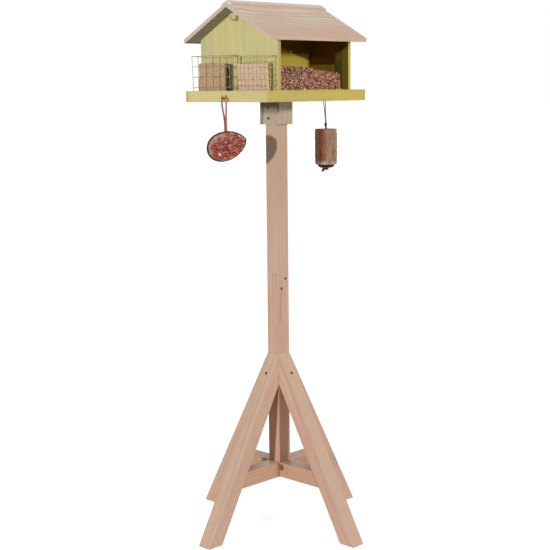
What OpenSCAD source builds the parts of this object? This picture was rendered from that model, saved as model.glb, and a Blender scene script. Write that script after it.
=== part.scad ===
// Bird feeder: a roofed feeding tray on a wooden stand with four raking legs.
// Origin on the ground under the post, +Z up. The open front faces -Y and the
// gable with the two wire cages faces -X.

/* [Stand] */
// Width of the square timber of the post, legs and beams
post_w = 40; // [32:1:52]
// Angle between a leg and the post
leg_angle = 29; // [24:0.5:34]
// Height where the outer faces of the legs meet the post
leg_top_z = 473; // [430:1:560]
// Height of the underside of the cross beams
beam_z = 134; // [90:1:170]
// Gap that the front end of its beam leaves before the leg
front_beam_gap = 2; // [0:0.5:4]
// Height where the lap joint of the post starts
splice_z = 630; // [580:1:800]
// Length of the lap joint of the post
splice_len = 60; // [50:1:100]
// Height of the underside of the tray
tray_z = 1140; // [1050:1:1300]

/* [Collar] */
// Thickness of the collar boards round the top of the post
collar_t = 10; // [8:0.5:16]
// Height of the collar boards
collar_h = 60; // [45:1:100]

/* [Tray] */
// Width of the shelf that the tray leaves outside a gable
shelf_w = 44; // [38:1:76]
// Gap between a gable and the front or back rail
gable_gap = 3; // [2:0.5:20]
// Thickness of the rails
rail_t = 9; // [7:0.5:14]
// Height of the rails
rail_h = 28; // [24:1:45]
// Thickness of the tray floor
floor_t = 9; // [7:0.5:14]

/* [House] */
// Distance over the outer faces of the two gables
gable_span = 268; // [230:1:320]
// Width of a gable
gable_w = 280; // [256:1:320]
// Thickness of a gable
gable_t = 9; // [8:0.5:14]
// Thickness of the partition under the ridge
partition_t = 10; // [6:0.5:14]
// Height of the underside of the roof at the ridge, above the tray floor
house_h = 225; // [210:1:260]

/* [Roof] */
// Pitch of the roof in degrees
roof_pitch = 28.5; // [24:0.5:32]
// Thickness of the roof boards
roof_t = 10; // [7:0.5:16]
// Distance that the roof reaches past a gable
verge_over = 41.5; // [38.5:0.5:76]
// Distance that the roof reaches past the edge of a gable
eave_over = 20.5; // [10:0.5:50]
// Width of a ridge strip
cap_w = 20; // [18:0.5:30]
// Thickness of a ridge strip
cap_t = 5; // [3:0.5:8]
// Distance from the end of a ridge strip to the end of the roof
cap_inset = 2; // [0:0.5:10]

/* [Seed bays] */
// Thickness of the clear panels
panel_t = 3; // [2:0.5:4]
// Height of the clear panels
panel_h = 77; // [60:1:85]
// Gap under a clear panel, above the tray floor
panel_gap = 22; // [15:0.5:28]
// Distance from the edge of a gable to the outer face of its panel
panel_inset = 21; // [20:1:40]
// Depth of the panel grooves in the gables
groove_d = 3.5; // [2.5:0.5:5]
// Height of the seed at the caged end
seed_high = 80; // [60:1:88]
// Height of the seed at the other end
seed_low = 61; // [45:1:80]

/* [Cages] */
// Thickness of the cage wire
wire_d = 1.3; // [1:0.1:2]
// Mesh of the coarse cage along Y
coarse_pitch = 24.5; // [20:0.5:30]
// Mesh of the coarse cage along Z
coarse_row = 26.4; // [20:0.1:30]
// Height of the coarse cage above the tray floor
coarse_h = 107.5; // [90:0.5:115]
// Gap between the coarse cage and the end rail
coarse_gap = 0.8; // [0.5:0.1:6]
// Mesh of the fine cage along Y
fine_pitch = 14.2; // [10:0.1:18]
// Mesh of the fine cage along Z
fine_row = 14.5; // [10:0.1:18]
// Height of the fine cage above the tray floor
fine_h = 104.5; // [90:0.5:115]
// Distance from the gable to the face of the fine cage
fine_depth = 24; // [22:0.5:30]
// Distance from the edge of the gable to the end of a cage
cage_margin = 4; // [4:0.5:10]

/* [Suet blocks] */
// Width of the block in the coarse cage
red_block_w = 100; // [70:1:110]
// Height of the block in the coarse cage
red_block_h = 89; // [70:1:95]
// Thickness of the block in the coarse cage
red_block_t = 16; // [10:0.5:18]
// Width of the block in the fine cage
pink_block_w = 112; // [80:1:114]
// Height of the block in the fine cage
pink_block_h = 86; // [70:1:90]
// Thickness of the block in the fine cage
pink_block_t = 16; // [10:0.5:16]
// Lean of the block in the fine cage
pink_lean = 3.3; // [0:0.1:3.5]

/* [Hooks] */
// Thickness of the hook wire
hook_d = 2.6; // [2:0.1:3]
// Bend radius of the gable hooks
gable_hook_r = 13; // [9:0.5:14]
// Distance from the ridge underside down to the gable hooks
gable_hook_drop = 19; // [17:0.5:40]
// Bend radius of the rail hooks
rail_hook_r = 7.5; // [7:0.5:9]
// Height of the rail hooks above the underside of the tray
rail_hook_h = 15.5; // [13:0.5:20]
// Bend radius of the small hook in the front bay
bay_hook_r = 4; // [4:0.5:7]

/* [Coconut] */
// Length of the coconut half
coconut_l = 104; // [90:1:115]
// Width of the coconut half
coconut_w = 76; // [66:1:86]
// Thickness of the shell
shell_t = 3; // [2.5:0.5:5]
// Tilt of the long axis of the coconut
coconut_tilt = 18.7; // [0:0.1:25]
// Turn of the coconut about its cord, 0 facing -Y
coconut_turn = 45; // [0:1:90]
// Drop from the hook wire to the top of the coconut
coconut_hang = 77.3; // [76:0.1:79]
// Thickness of the coconut cord
coconut_cord_d = 4.2; // [3.5:0.1:4.4]

/* [Suet roll] */
// Diameter of the roll
roll_d = 61; // [45:1:70]
// Height of the roll
roll_h = 98; // [70:1:120]
// Drop from the hook wire to the top of the roll
roll_drop = 85; // [83:0.5:90]
// Thickness of the roll cord
roll_cord_d = 2.8; // [2.2:0.1:2.9]
// Diameter of the dark end plug
plug_d = 46; // [30:1:50]

/* [Hidden] */

$fn = 48;
// Clearance between pieces that are fixed together
fit = 0.1;
// Running clearance of pieces that move
run = 0.3;
// Colours, taken from the photographed finishes
tan_wood = [0.82, 0.68, 0.54];
green_wood = [0.78, 0.74, 0.47];
grey_wood = [0.60, 0.53, 0.44];
roof_wood = [0.82, 0.71, 0.63];
strip_wood = [0.86, 0.66, 0.52];
steel = [0.55, 0.52, 0.46];
brass_wire = [0.70, 0.66, 0.36];
seed_brown = [0.60, 0.42, 0.36];

// Screws and nails. A size that ends in _bite is how deep the point goes into the wood behind.
screw_d = 4.2;
screw_head_d = 7.6;
small_screw_d = 3.4;
small_head_d = 6.4;
drive_w = 0.9;
drive_deep = 1;
nail_d = 2;
nail_head_t = 0.8;

// Stand
half_w = post_w / 2;
leg_level_w = post_w / cos(leg_angle);
beam_top = beam_z + post_w;
beam_mid = beam_z + post_w / 2;
leg_joint_h = post_w / sin(leg_angle);
leg_screw_up = 15.8;
leg_screw_z = leg_top_z - (leg_joint_h - leg_screw_up) * pow(cos(leg_angle), 2);
leg_screw_tip_r = 6;
splice_screw_len = post_w - 4;
splice_screws_at = [[8, splice_len - 17], [-7, 18]];
crossing_screw_at = half_w - 11;
crossing_screw_len = post_w + 24;
beam_nail_d = 3;
beam_nail_len = post_w + 4;
beam_nail_back = 16;
beam_nail_up = 0.6;
beam_nail_angle = 30;

// Collar
collar_z = tray_z - collar_h;
collar_screw_edge = 16;
collar_bite = 13;
collar_screw_len = collar_t + collar_bite;

// Tray and house
tray_l = gable_span + 2 * shelf_w;
tray_w = gable_w + 2 * (gable_gap + rail_t);
tray_inner = tray_w / 2 - rail_t;
floor_top = tray_z + floor_t;
rail_bite = 21;
rail_nail_len = rail_t + rail_bite;
rail_nail_h = 7;
floor_screw_y = half_w - 6;
floor_bite = 33;
floor_screw_len = floor_t + floor_bite;
gable_bite = 23;
gable_screw_len = floor_t + gable_bite;
gable_screw_edge = 40;
gable_mid_x = gable_span / 2 - gable_t / 2;
bay_half = gable_span / 2 - gable_t;
partition_screw_x = bay_half - 55;
apex_z = floor_top + house_h;
roof_l = gable_span + 2 * verge_over;
roof_w = gable_w + 2 * eave_over;
roof_cos = cos(roof_pitch);
roof_sin = sin(roof_pitch);
roof_top = apex_z + roof_t / roof_cos;
roof_nail_back = 15;
roof_bite = 10;
roof_nail_len = roof_t + roof_bite;
panel_y = gable_w / 2 - panel_inset;
panel_z = floor_top + panel_gap;
panel_slot_t = panel_t + 2 * run;
spill_fall = 7;

// Cages
face = gable_span / 2;
cage_y = gable_w / 2 - cage_margin;
coarse_depth = shelf_w - rail_t - coarse_gap - wire_d / 2;
coarse_inner_y = -2;
fine_inner_y = -9;
fine_first = 6.5;
staple_d = 1.2;
staple_gap = 0.35;
staple_half = wire_d / 2 + staple_gap;
staple_depth = 6;
staple_below_row = 0.4;
red_block_gap = 2;
red_block_shift = 2;
pink_block_shift = 2;
red_block_y = (cage_y + coarse_inner_y) / 2 + red_block_shift;
pink_block_y = (fine_inner_y - cage_y) / 2 + pink_block_shift;

// Hooks
hook_tip = 2;
hook_cover = 2;
bay_hook_d = 2;
bay_hook_x = 42;
bay_hook_h = 118;
rail_hook_reach = rail_hook_r + hook_d / 2 + run;
bowl_x = tray_l / 2 + rail_hook_reach;
bowl_z = tray_z + rail_hook_h - rail_hook_r;

// Coconut, about its hook wire
coconut_entry = [5.5, 0, -80];
coconut_top_r = norm([coconut_l * sin(coconut_tilt), coconut_w * cos(coconut_tilt)]) / 2;
coconut_centre = [8.6, 0, -coconut_hang - coconut_top_r];
coconut_balance = 0.412;
coconut_back = coconut_balance * coconut_w / 2;
egg_skew = -0.15;
egg_steps = 24;
fat_recess = 1.5;
entry_bore_d = 10.4;
cord_end_z = -83;
nut_r = 5.2;
nut_margin = 2;
nut_count = 24;
golden_turn = 137.5;

// Roll, about its hook wire
roll_x = 5.5;
roll_edge_r = 5;
roll_chamfer = 2;
string_d = 4.6;
knot_z = -74;
knot_r = 4.4;
knot_half = 4;
plug_h = 7;
plug_edge = 3;
tail_r = 5.5;
tail_tip_r = 4;
tail_h = 15;
tail_widest = 9;
tail_round = 1;

// Routes of the cords, from their hook wire. The loop stands at the hook.
coconut_route = [[5.5, 2.3, -83], [5.2, 2.3, -72], [4.6, 2.4, -61], [3.7, 3.0, -50], [2.7, 4.3, -39],
    [1.7, 5.9, -28], [0.8, 7.2, -17], [0.2, 7.9, -8], [0, 7.2, -1], [0, 4.4, 3], [0, 0, 4.2],
    [0, -4.4, 3], [0, -7.2, -1], [0.2, -7.9, -8], [0.8, -7.2, -17], [1.7, -5.9, -28],
    [2.7, -4.3, -39], [3.7, -3.0, -50], [4.6, -2.4, -61], [5.2, -2.3, -72], [5.5, -2.3, -83]];
roll_route = [[5.2, 1.5, -70], [4.4, 1.5, -60], [3.6, 1.5, -50], [2.8, 1.6, -41], [2.1, 2.1, -33],
    [1.4, 2.8, -25], [0.8, 3.4, -17], [0.3, 3.6, -9], [0, 3.4, -3], [0, 2.4, 1.6], [0, 0, 3.4],
    [0, -2.4, 1.6], [0, -3.4, -3], [0.3, -3.6, -9], [0.8, -3.4, -17], [1.4, -2.8, -25],
    [2.1, -2.1, -33], [2.8, -1.6, -41], [3.6, -1.5, -50], [4.4, -1.5, -60], [5.2, -1.5, -70]];
// Top of the seed: how far along from the caged end, and how much of the fall is left
seed_fall = [[0, 1], [0.12, 0.95], [0.4, 0.78], [0.55, 0.66], [0.73, 0.33], [1, 0]];

function leg_out(z) = half_w + (leg_top_z - z) * tan(leg_angle);
function leg_in(z) = leg_out(z) - leg_level_w;
function roof_under(y) = apex_z - abs(y) * tan(roof_pitch);
function unit(v) = v / norm(v);

// Tube swept along points that never run along X
function ring(p, t, d, n) = let (a = unit(cross(t, [1, 0, 0])), b = cross(t, a))
    [for (i = [0:n - 1]) p + (a * cos(360 * i / n) + b * sin(360 * i / n)) * d / 2];
function heading(pts, i) = unit(pts[min(i + 1, len(pts) - 1)] - pts[max(i - 1, 0)]);
module tube(pts, d, n = 8) {
    rings = [for (i = [0:len(pts) - 1]) each ring(pts[i], heading(pts, i), d, n)];
    last = (len(pts) - 1) * n;
    walls = [for (i = [0:len(pts) - 2], k = [0:n - 1])
        each [[(i + 1) * n + k, i * n + (k + 1) % n, i * n + k],
            [(i + 1) * n + k, (i + 1) * n + (k + 1) % n, i * n + (k + 1) % n]]];
    polyhedron(rings, concat(walls, [[for (k = [0:n - 1]) k]], [[for (k = [n - 1:-1:0]) last + k]]));
}

// Countersunk screw with its head flush at z = 0 and its tip at z = -length
module screw_body(length, d, head_d, grow = 0) {
    head_h = (head_d - d) / 2;
    rotate_extrude()
        polygon([[0, grow > 0 ? 1 : 0], [head_d / 2 + grow, grow > 0 ? 1 : 0], [head_d / 2 + grow, 0],
            [d / 2 + grow, -head_h - grow], [d / 2 + grow, -length + d],
            [grow, -length - grow], [0, -length - grow]]);
}
module screw(length, d = screw_d, head_d = screw_head_d) {
    difference() {
        screw_body(length, d, head_d);
        for (a = [0, 90]) rotate(a) cube([d, drive_w, 2 * drive_deep], center = true);
    }
}
module screw_hole(length, d = screw_d, head_d = screw_head_d) {
    screw_body(length, d, head_d, fit);
}

// Nail with a small flat head, flush at z = 0
module nail(length, d = nail_d) {
    rotate_extrude()
        polygon([[0, 0], [d, 0], [d, -nail_head_t], [d / 2, -2 * nail_head_t],
            [d / 2, -length + d], [0, -length]]);
}
module nail_hole(length, d = nail_d) {
    r = d / 2 + fit;
    rotate_extrude()
        polygon([[0, 1], [d + fit, 1], [d + fit, -nail_head_t], [r, -2 * nail_head_t - fit],
            [r, -length + d], [fit, -length - fit], [0, -length - fit]]);
}

// Profile in X and Z, as deep as the timber
module across(depth) {
    rotate([90, 0, 0]) linear_extrude(height = depth, center = true) children();
}
// Profile in Y and Z, as long as asked
module along(length) {
    rotate([90, 0, 90]) linear_extrude(height = length, center = true) children();
}

// Stand
module at_legs() {
    for (i = [0:3]) rotate(90 * i) children();
}
module leg_screw_frame() {
    translate([leg_out(leg_screw_z), 0, leg_screw_z]) rotate([0, 90 - leg_angle, 0]) children();
}
leg_screw_len = (leg_out(leg_screw_z) - leg_screw_tip_r) / cos(leg_angle);
module leg_screw_holes() {
    at_legs() leg_screw_frame() screw_hole(leg_screw_len);
}
module beam_nail_frame(r) {
    translate([r - beam_nail_back, 0, beam_z + beam_nail_up])
        rotate([0, -90 - beam_nail_angle, 0]) children();
}
module leg(i) {
    color(tan_wood) rotate(90 * i) difference() {
        across(post_w) polygon([[half_w, leg_top_z], [half_w, leg_top_z - leg_joint_h],
            [leg_in(0), 0], [leg_out(0), 0]]);
        leg_screw_frame() screw_hole(leg_screw_len);
        beam_nail_frame(leg_in(beam_z)) nail_hole(beam_nail_len, beam_nail_d);
    }
}
module leg_screws() {
    color(steel) at_legs() leg_screw_frame() screw(leg_screw_len);
}
module splice_frames() {
    for (p = splice_screws_at)
        translate([p[0], -half_w, splice_z + p[1]]) rotate([90, 0, 0]) children();
}
module crossing_frames() {
    for (s = [-1, 1])
        translate([s * crossing_screw_at, s * crossing_screw_at, beam_z]) rotate([180, 0, 0]) children();
}
module collar_frames() {
    for (s = [-1, 1], z = [collar_z + collar_screw_edge, tray_z - collar_screw_edge])
        translate([s * (half_w + collar_t), 0, z]) rotate([0, 90 * s, 0]) children();
}
module floor_frames() {
    for (s = [-1, 1]) translate([0, s * floor_screw_y, floor_top]) children();
}
module lower_post() {
    color(tan_wood) difference() {
        translate([-half_w, -half_w, beam_top]) cube([post_w, post_w, splice_z + splice_len - beam_top]);
        translate([-half_w - 1, 0, splice_z]) cube([post_w + 2, half_w + 1, splice_len + 1]);
        leg_screw_holes();
        splice_frames() screw_hole(splice_screw_len);
        crossing_frames() screw_hole(crossing_screw_len);
    }
}
module upper_post() {
    color(tan_wood) difference() {
        translate([-half_w, -half_w, splice_z]) cube([post_w, post_w, tray_z - splice_z]);
        translate([-half_w - 1, -half_w - 1, splice_z - 1]) cube([post_w + 2, half_w + 1, splice_len + 1]);
        splice_frames() screw_hole(splice_screw_len);
        collar_frames() screw_hole(collar_screw_len);
        floor_frames() screw_hole(floor_screw_len);
    }
}
module splice_screws() {
    color(steel) splice_frames() screw(splice_screw_len);
}
module crossing_screws() {
    color(steel) crossing_frames() screw(crossing_screw_len);
}
module beam_shape(gap_low, gap_high) {
    across(post_w) polygon([[-leg_in(beam_z) + gap_low, beam_z], [leg_in(beam_z) - gap_high, beam_z],
        [leg_in(beam_top) - gap_high, beam_top], [-leg_in(beam_top) + gap_low, beam_top]]);
}
module cross_beam_x() {
    color(tan_wood) difference() {
        beam_shape(fit, fit);
        translate([-half_w - fit, -half_w - 1, beam_mid]) cube([post_w + 2 * fit, post_w + 2, half_w + 1]);
        crossing_frames() screw_hole(crossing_screw_len);
        for (a = [0, 180]) rotate(a) beam_nail_frame(leg_in(beam_z)) nail_hole(beam_nail_len, beam_nail_d);
    }
}
module cross_beam_y() {
    color(tan_wood) difference() {
        rotate(90) beam_shape(front_beam_gap + fit, fit);
        translate([-half_w - 1, -half_w - fit, beam_z - 1]) cube([post_w + 2, post_w + 2 * fit, half_w + 1]);
        crossing_frames() screw_hole(crossing_screw_len);
        for (a = [90, 270]) rotate(a) beam_nail_frame(leg_in(beam_z)) nail_hole(beam_nail_len, beam_nail_d);
    }
}
module beam_nails() {
    color(steel) at_legs() beam_nail_frame(leg_in(beam_z)) nail(beam_nail_len, beam_nail_d);
}

// Collar
module collar_side(s) {
    color(grey_wood) difference() {
        translate([s > 0 ? half_w : -half_w - collar_t, -half_w - collar_t, collar_z])
            cube([collar_t, post_w + 2 * collar_t, collar_h]);
        collar_frames() screw_hole(collar_screw_len);
    }
}
module collar_face(s) {
    color(grey_wood) translate([-half_w, s > 0 ? half_w : -half_w - collar_t, collar_z])
        cube([post_w, collar_t, collar_h]);
}
module collar_screws() {
    color(steel) collar_frames() screw(collar_screw_len);
}

// Tray
module gable_screw_frames() {
    for (sx = [-1, 1], sy = [-1, 0, 1])
        translate([sx * gable_mid_x, sy * (gable_w / 2 - gable_screw_edge), tray_z])
            rotate([180, 0, 0]) children();
    for (s = [-1, 1]) translate([s * partition_screw_x, 0, tray_z]) rotate([180, 0, 0]) children();
}
module gable_screw_holes() {
    gable_screw_frames() screw_hole(gable_screw_len, small_screw_d, small_head_d);
}
module tray_floor() {
    color(green_wood) difference() {
        translate([-tray_l / 2 + rail_t, -tray_inner, tray_z])
            cube([tray_l - 2 * rail_t, 2 * tray_inner, floor_t]);
        floor_frames() screw_hole(floor_screw_len);
        gable_screw_holes();
    }
}
module rail_nail_frames() {
    for (sx = [-1, 1], sy = [-1, 1])
        translate([sx * (tray_l - rail_t) / 2, sy * tray_w / 2, tray_z + rail_nail_h])
            rotate([-90 * sy, 0, 0]) children();
}
module long_rail(s) {
    color(green_wood) difference() {
        translate([-tray_l / 2, s > 0 ? tray_inner : -tray_w / 2, tray_z]) cube([tray_l, rail_t, rail_h]);
        rail_nail_frames() nail_hole(rail_nail_len);
    }
}
module end_rail(s) {
    color(green_wood) difference() {
        translate([s > 0 ? tray_l / 2 - rail_t : -tray_l / 2, -tray_inner, tray_z])
            cube([rail_t, 2 * tray_inner, rail_h]);
        rail_nail_frames() nail_hole(rail_nail_len);
        rail_hook_frame(s) hook_hole(hook_d, rail_t - hook_cover);
    }
}
module rail_nails() {
    color(steel) rail_nail_frames() nail(rail_nail_len);
}
module floor_screws() {
    color(steel) floor_frames() screw(floor_screw_len);
}
module gable_screws() {
    color(steel) gable_screw_frames() screw(gable_screw_len, small_screw_d, small_head_d);
}

// House
module panel_slot(s) {
    translate([-bay_half - groove_d, s * (panel_y - panel_t / 2) - panel_slot_t / 2, panel_z - run])
        cube([2 * (bay_half + groove_d), panel_slot_t, house_h]);
}
module roof_nail_frames() {
    for (sx = [-1, 1], sy = [-1, 1])
        translate([sx * gable_mid_x, sy * roof_nail_back * roof_cos, roof_top - roof_nail_back * roof_sin])
            rotate([-roof_pitch * sy, 0, 0]) children();
}
module gable_blank(s) {
    translate([s * gable_mid_x, 0, 0]) along(gable_t)
        polygon([[-gable_w / 2, floor_top], [gable_w / 2, floor_top], [gable_w / 2, roof_under(gable_w / 2)],
            [0, apex_z], [-gable_w / 2, roof_under(gable_w / 2)]]);
}
module gable(s) {
    difference() {
        gable_blank(s);
        for (side = [-1, 1]) panel_slot(side);
        gable_screw_holes();
        roof_nail_frames() nail_hole(roof_nail_len);
        gable_hook_frame(s) hook_hole(hook_d, gable_t - hook_cover);
    }
}
module left_gable() {
    color(green_wood) difference() {
        gable(-1);
        staple_frames() staple_legs(fit);
    }
}
module right_gable() {
    color(green_wood) gable(1);
}
module partition() {
    y = partition_t / 2;
    color(green_wood) difference() {
        along(2 * bay_half - 2 * fit)
            polygon([[-y, floor_top], [y, floor_top], [y, roof_under(y)], [0, apex_z], [-y, roof_under(y)]]);
        gable_screw_holes();
        bay_hook_frame() hook_hole(bay_hook_d, partition_t - hook_cover);
    }
}
module panel(s) {
    color([0.85, 0.9, 0.9, 0.4])
        translate([-bay_half - groove_d + run, s * (panel_y - panel_t / 2) - panel_t / 2, panel_z])
            cube([2 * (bay_half + groove_d - run), panel_t, panel_h]);
}
module seed(s) {
    half = bay_half - fit;
    front = panel_y - panel_t - run;
    back = partition_t / 2 + fit;
    color(seed_brown) translate([0, s * (front + back) / 2, 0]) across(front - back)
        polygon(concat([[half, floor_top], [-half, floor_top]],
            [for (p = seed_fall)
                [-half + 2 * half * p[0], floor_top + seed_low + (seed_high - seed_low) * p[1]]]));
}
module spill(s) {
    low = -(panel_y - panel_t - run);
    rail = -tray_inner + fit;
    top = panel_z - run;
    slope = (low - panel_slot_t - rail) / 2;
    color(seed_brown) mirror([0, s > 0 ? 1 : 0, 0]) along(2 * (bay_half - fit))
        polygon([[low, floor_top], [low, top], [low - panel_slot_t, top],
            [rail + slope, top - spill_fall / 3], [rail + slope / 3, top - spill_fall * 2 / 3],
            [rail, top - spill_fall], [rail, floor_top]]);
}
module roof_board(s) {
    tip = roof_w / 2;
    tip_z = roof_top - tip * tan(roof_pitch);
    color(roof_wood) mirror([0, s > 0 ? 1 : 0, 0]) difference() {
        along(roof_l) polygon([[0, apex_z], [0, roof_top], [-tip, tip_z],
            [-tip + roof_t * roof_sin, tip_z - roof_t * roof_cos]]);
        roof_nail_frames() nail_hole(roof_nail_len);
    }
}
module roof_nails() {
    color(steel) roof_nail_frames() nail(roof_nail_len);
}
module ridge_strip(s) {
    y = cap_w * roof_cos;
    z = roof_top - cap_w * roof_sin;
    color(strip_wood) mirror([0, s > 0 ? 1 : 0, 0]) along(roof_l - 2 * cap_inset)
        polygon([[0, roof_top], [0, roof_top + cap_t / roof_cos],
            [-y - cap_t * roof_sin, z + cap_t * roof_cos], [-y, z]]);
}

// Cages. A grille is one flat sheet of crossed wires: columns and rows in mm from its corner.
module grille(cols, rows, width, height) {
    linear_extrude(height = wire_d, center = true) {
        for (c = cols) translate([c - wire_d / 2, 0]) square([wire_d, height]);
        for (r = rows) translate([0, r - wire_d / 2]) square([width, wire_d]);
    }
}
function rows_from_top(h, pitch) = [for (z = h - wire_d / 2; z > wire_d; z = z - pitch) z];
module cage_face(depth, y_low, y_high, cols, rows, h) {
    color(brass_wire) translate([-face - depth, y_low - wire_d / 2, floor_top]) rotate([90, 0, 90])
        grille([for (c = cols) c - y_low + wire_d / 2], rows, y_high - y_low + wire_d, h);
}
module cage_end(depth, y, cols, rows, h) {
    reach = depth - wire_d / 2;
    color(brass_wire) translate([-face - reach, y, floor_top]) rotate([90, 0, 0])
        grille(cols, rows, reach, h);
}
function coarse_cols() = concat(
    [for (y = cage_y; y > coarse_inner_y + coarse_pitch / 4; y = y - coarse_pitch) y],
    [coarse_inner_y]);
function fine_cols() = concat([-cage_y],
    [for (y = -cage_y + fine_first; y < fine_inner_y - fine_pitch / 4; y = y + fine_pitch) y],
    [fine_inner_y]);
coarse_rows = rows_from_top(coarse_h, coarse_row);
fine_rows = rows_from_top(fine_h, fine_row);
module coarse_end(y) {
    reach = coarse_depth - wire_d / 2;
    cage_end(coarse_depth, y, [reach - coarse_pitch, reach - wire_d / 2], coarse_rows, coarse_h);
}
module fine_end(y) {
    reach = fine_depth - wire_d / 2;
    cage_end(fine_depth, y, [reach / 2, reach - wire_d / 2], fine_rows, fine_h);
}
// Staples sit between two rows of wires, one high up and one lower down
function staple_z(h, row, rows_down) = floor_top + h - wire_d / 2 - row * (rows_down + staple_below_row);
module staple_frames() {
    for (y = [cage_y, coarse_inner_y], k = [0, 2])
        translate([-face, y, staple_z(coarse_h, coarse_row, k)]) children();
    for (y = [-cage_y, fine_inner_y], k = [0, 4])
        translate([-face, y, staple_z(fine_h, fine_row, k)]) children();
}
module staple_legs(grow = 0) {
    back = wire_d + fit + grow;
    thick = staple_d + 2 * grow;
    for (y = [-staple_half - staple_d, staple_half])
        translate([-back, y - grow, -thick / 2]) cube([back + staple_depth + grow, thick, thick]);
}
module cage_staples() {
    color(steel) staple_frames() {
        staple_legs();
        translate([-wire_d - fit - staple_d, -staple_half - staple_d, -staple_d / 2])
            cube([staple_d, 2 * (staple_half + staple_d), staple_d]);
    }
}

// Suet blocks
module red_suet_block() {
    x = -face - coarse_depth + wire_d / 2 + red_block_gap + red_block_t / 2;
    color([0.72, 0.56, 0.46]) translate([x, red_block_y, floor_top + run + red_block_h / 2])
        cube([red_block_t, red_block_w, red_block_h], center = true);
}
module pink_suet_block() {
    x = -face - fine_depth + wire_d / 2 + run + pink_block_h * sin(pink_lean);
    color([0.82, 0.70, 0.64])
        translate([x, pink_block_y, floor_top + run]) rotate([0, -pink_lean, 0])
            translate([0, -pink_block_w / 2, 0]) cube([pink_block_t, pink_block_w, pink_block_h]);
}

// Hooks. The shank enters the wood along -X; the bowl hangs below it and the tip points up.
module hook(r, d, shank) {
    color(brass_wire) {
        translate([r + d / 2 + run, 0, 0]) {
            rotate([90, 180, 0]) rotate_extrude(angle = 180) translate([r, 0]) circle(d = d);
            translate([r, 0, 0]) cylinder(h = hook_tip, d = d);
            translate([r, 0, hook_tip]) sphere(d = d);
        }
        translate([d / 2 + run, 0, 0]) sphere(d = d);
        translate([-shank, 0, 0]) rotate([0, 90, 0]) cylinder(h = shank + d / 2 + run, d = d);
    }
}
module hook_hole(d, shank) {
    rotate([0, 90, 0]) cylinder(h = 2 * shank, d = d + 2 * fit, center = true);
}
module gable_hook_frame(s) {
    translate([s * face, 0, apex_z - gable_hook_drop]) rotate(s > 0 ? 0 : 180) children();
}
module rail_hook_frame(s) {
    translate([s * tray_l / 2, 0, tray_z + rail_hook_h]) rotate(s > 0 ? 0 : 180) children();
}
module bay_hook_frame() {
    translate([bay_hook_x, -partition_t / 2, floor_top + bay_hook_h]) rotate(-90) children();
}
module gable_hook(s) {
    gable_hook_frame(s) hook(gable_hook_r, hook_d, gable_t - hook_cover);
}
module rail_hook(s) {
    rail_hook_frame(s) hook(rail_hook_r, hook_d, rail_t - hook_cover);
}
module bay_hook() {
    bay_hook_frame() hook(bay_hook_r, bay_hook_d, partition_t - hook_cover);
}

// Coconut half. Its own frame has the opening facing -Y with its middle at the origin.
function egg_r(s, b) = b * sqrt(max(0, 1 - s * s)) * (1 + egg_skew * s);
module egg(grow) {
    a = coconut_l / 2 + grow;
    b = coconut_w / 2 + grow;
    rotate([0, 90, 0]) rotate_extrude()
        polygon([for (i = [0:egg_steps]) let (s = -cos(180 * i / egg_steps)) [egg_r(s, b), s * a]]);
}
module in_coconut() {
    translate([-bowl_x, 0, bowl_z]) translate(coconut_centre) rotate(-coconut_turn)
        translate([0, -coconut_back, 0]) rotate([0, -coconut_tilt, 0]) children();
}
module half_space(y) {
    translate([-coconut_l, y, -coconut_l]) cube([2 * coconut_l, coconut_l, 2 * coconut_l]);
}
module coconut_shell() {
    color([0.25, 0.22, 0.19]) difference() {
        in_coconut() difference() {
            intersection() {
                egg(0);
                half_space(0);
            }
            egg(-shell_t);
        }
        translate([-bowl_x, 0, bowl_z] + coconut_entry)
            cylinder(h = coconut_w / 2, d = entry_bore_d, center = true);
    }
}
module coconut_fat() {
    color([0.80, 0.66, 0.56]) difference() {
        in_coconut() intersection() {
            egg(-shell_t - fit);
            half_space(fat_recess);
        }
        translate([coconut_entry[0] - bowl_x, 0, bowl_z + cord_end_z - run])
            cylinder(h = coconut_w / 2, d = entry_bore_d);
    }
}
// Whole nuts lie half sunk in the fat, spread over it by a turn that never repeats
module coconut_nuts() {
    reach_a = coconut_l / 2 - shell_t - nut_r - nut_margin;
    reach_b = coconut_w / 2 - shell_t - nut_r - nut_margin;
    color([0.72, 0.24, 0.20]) in_coconut()
        for (i = [0:nut_count - 1]) let (f = sqrt((i + 0.5) / nut_count), t = i * golden_turn)
            translate([f * reach_a * cos(t), fat_recess, f * reach_b * sin(t)]) rotate([90, 0, 0])
                difference() {
                    translate([0, 0, -nut_r / 2]) sphere(r = nut_r);
                    translate([0, 0, -nut_r]) cube(2 * nut_r, center = true);
                }
}
module coconut_cord() {
    color([0.80, 0.48, 0.36]) translate([-bowl_x, 0, bowl_z]) tube(coconut_route, coconut_cord_d);
}

// Suet roll
module in_roll() {
    translate([bowl_x + roll_x, 0, bowl_z]) children();
}
module suet_roll() {
    r = roll_d / 2;
    e = roll_edge_r;
    bore_r = string_d / 2 + fit;
    color([0.66, 0.47, 0.38]) in_roll() translate([0, 0, -roll_drop - roll_h]) rotate_extrude()
        polygon(concat([[bore_r, 0]], [for (a = [-90:18:0]) [r - e + e * cos(a), e + e * sin(a)]],
            [[r, roll_h - roll_chamfer], [r - roll_chamfer, roll_h], [bore_r, roll_h]]));
}
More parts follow.
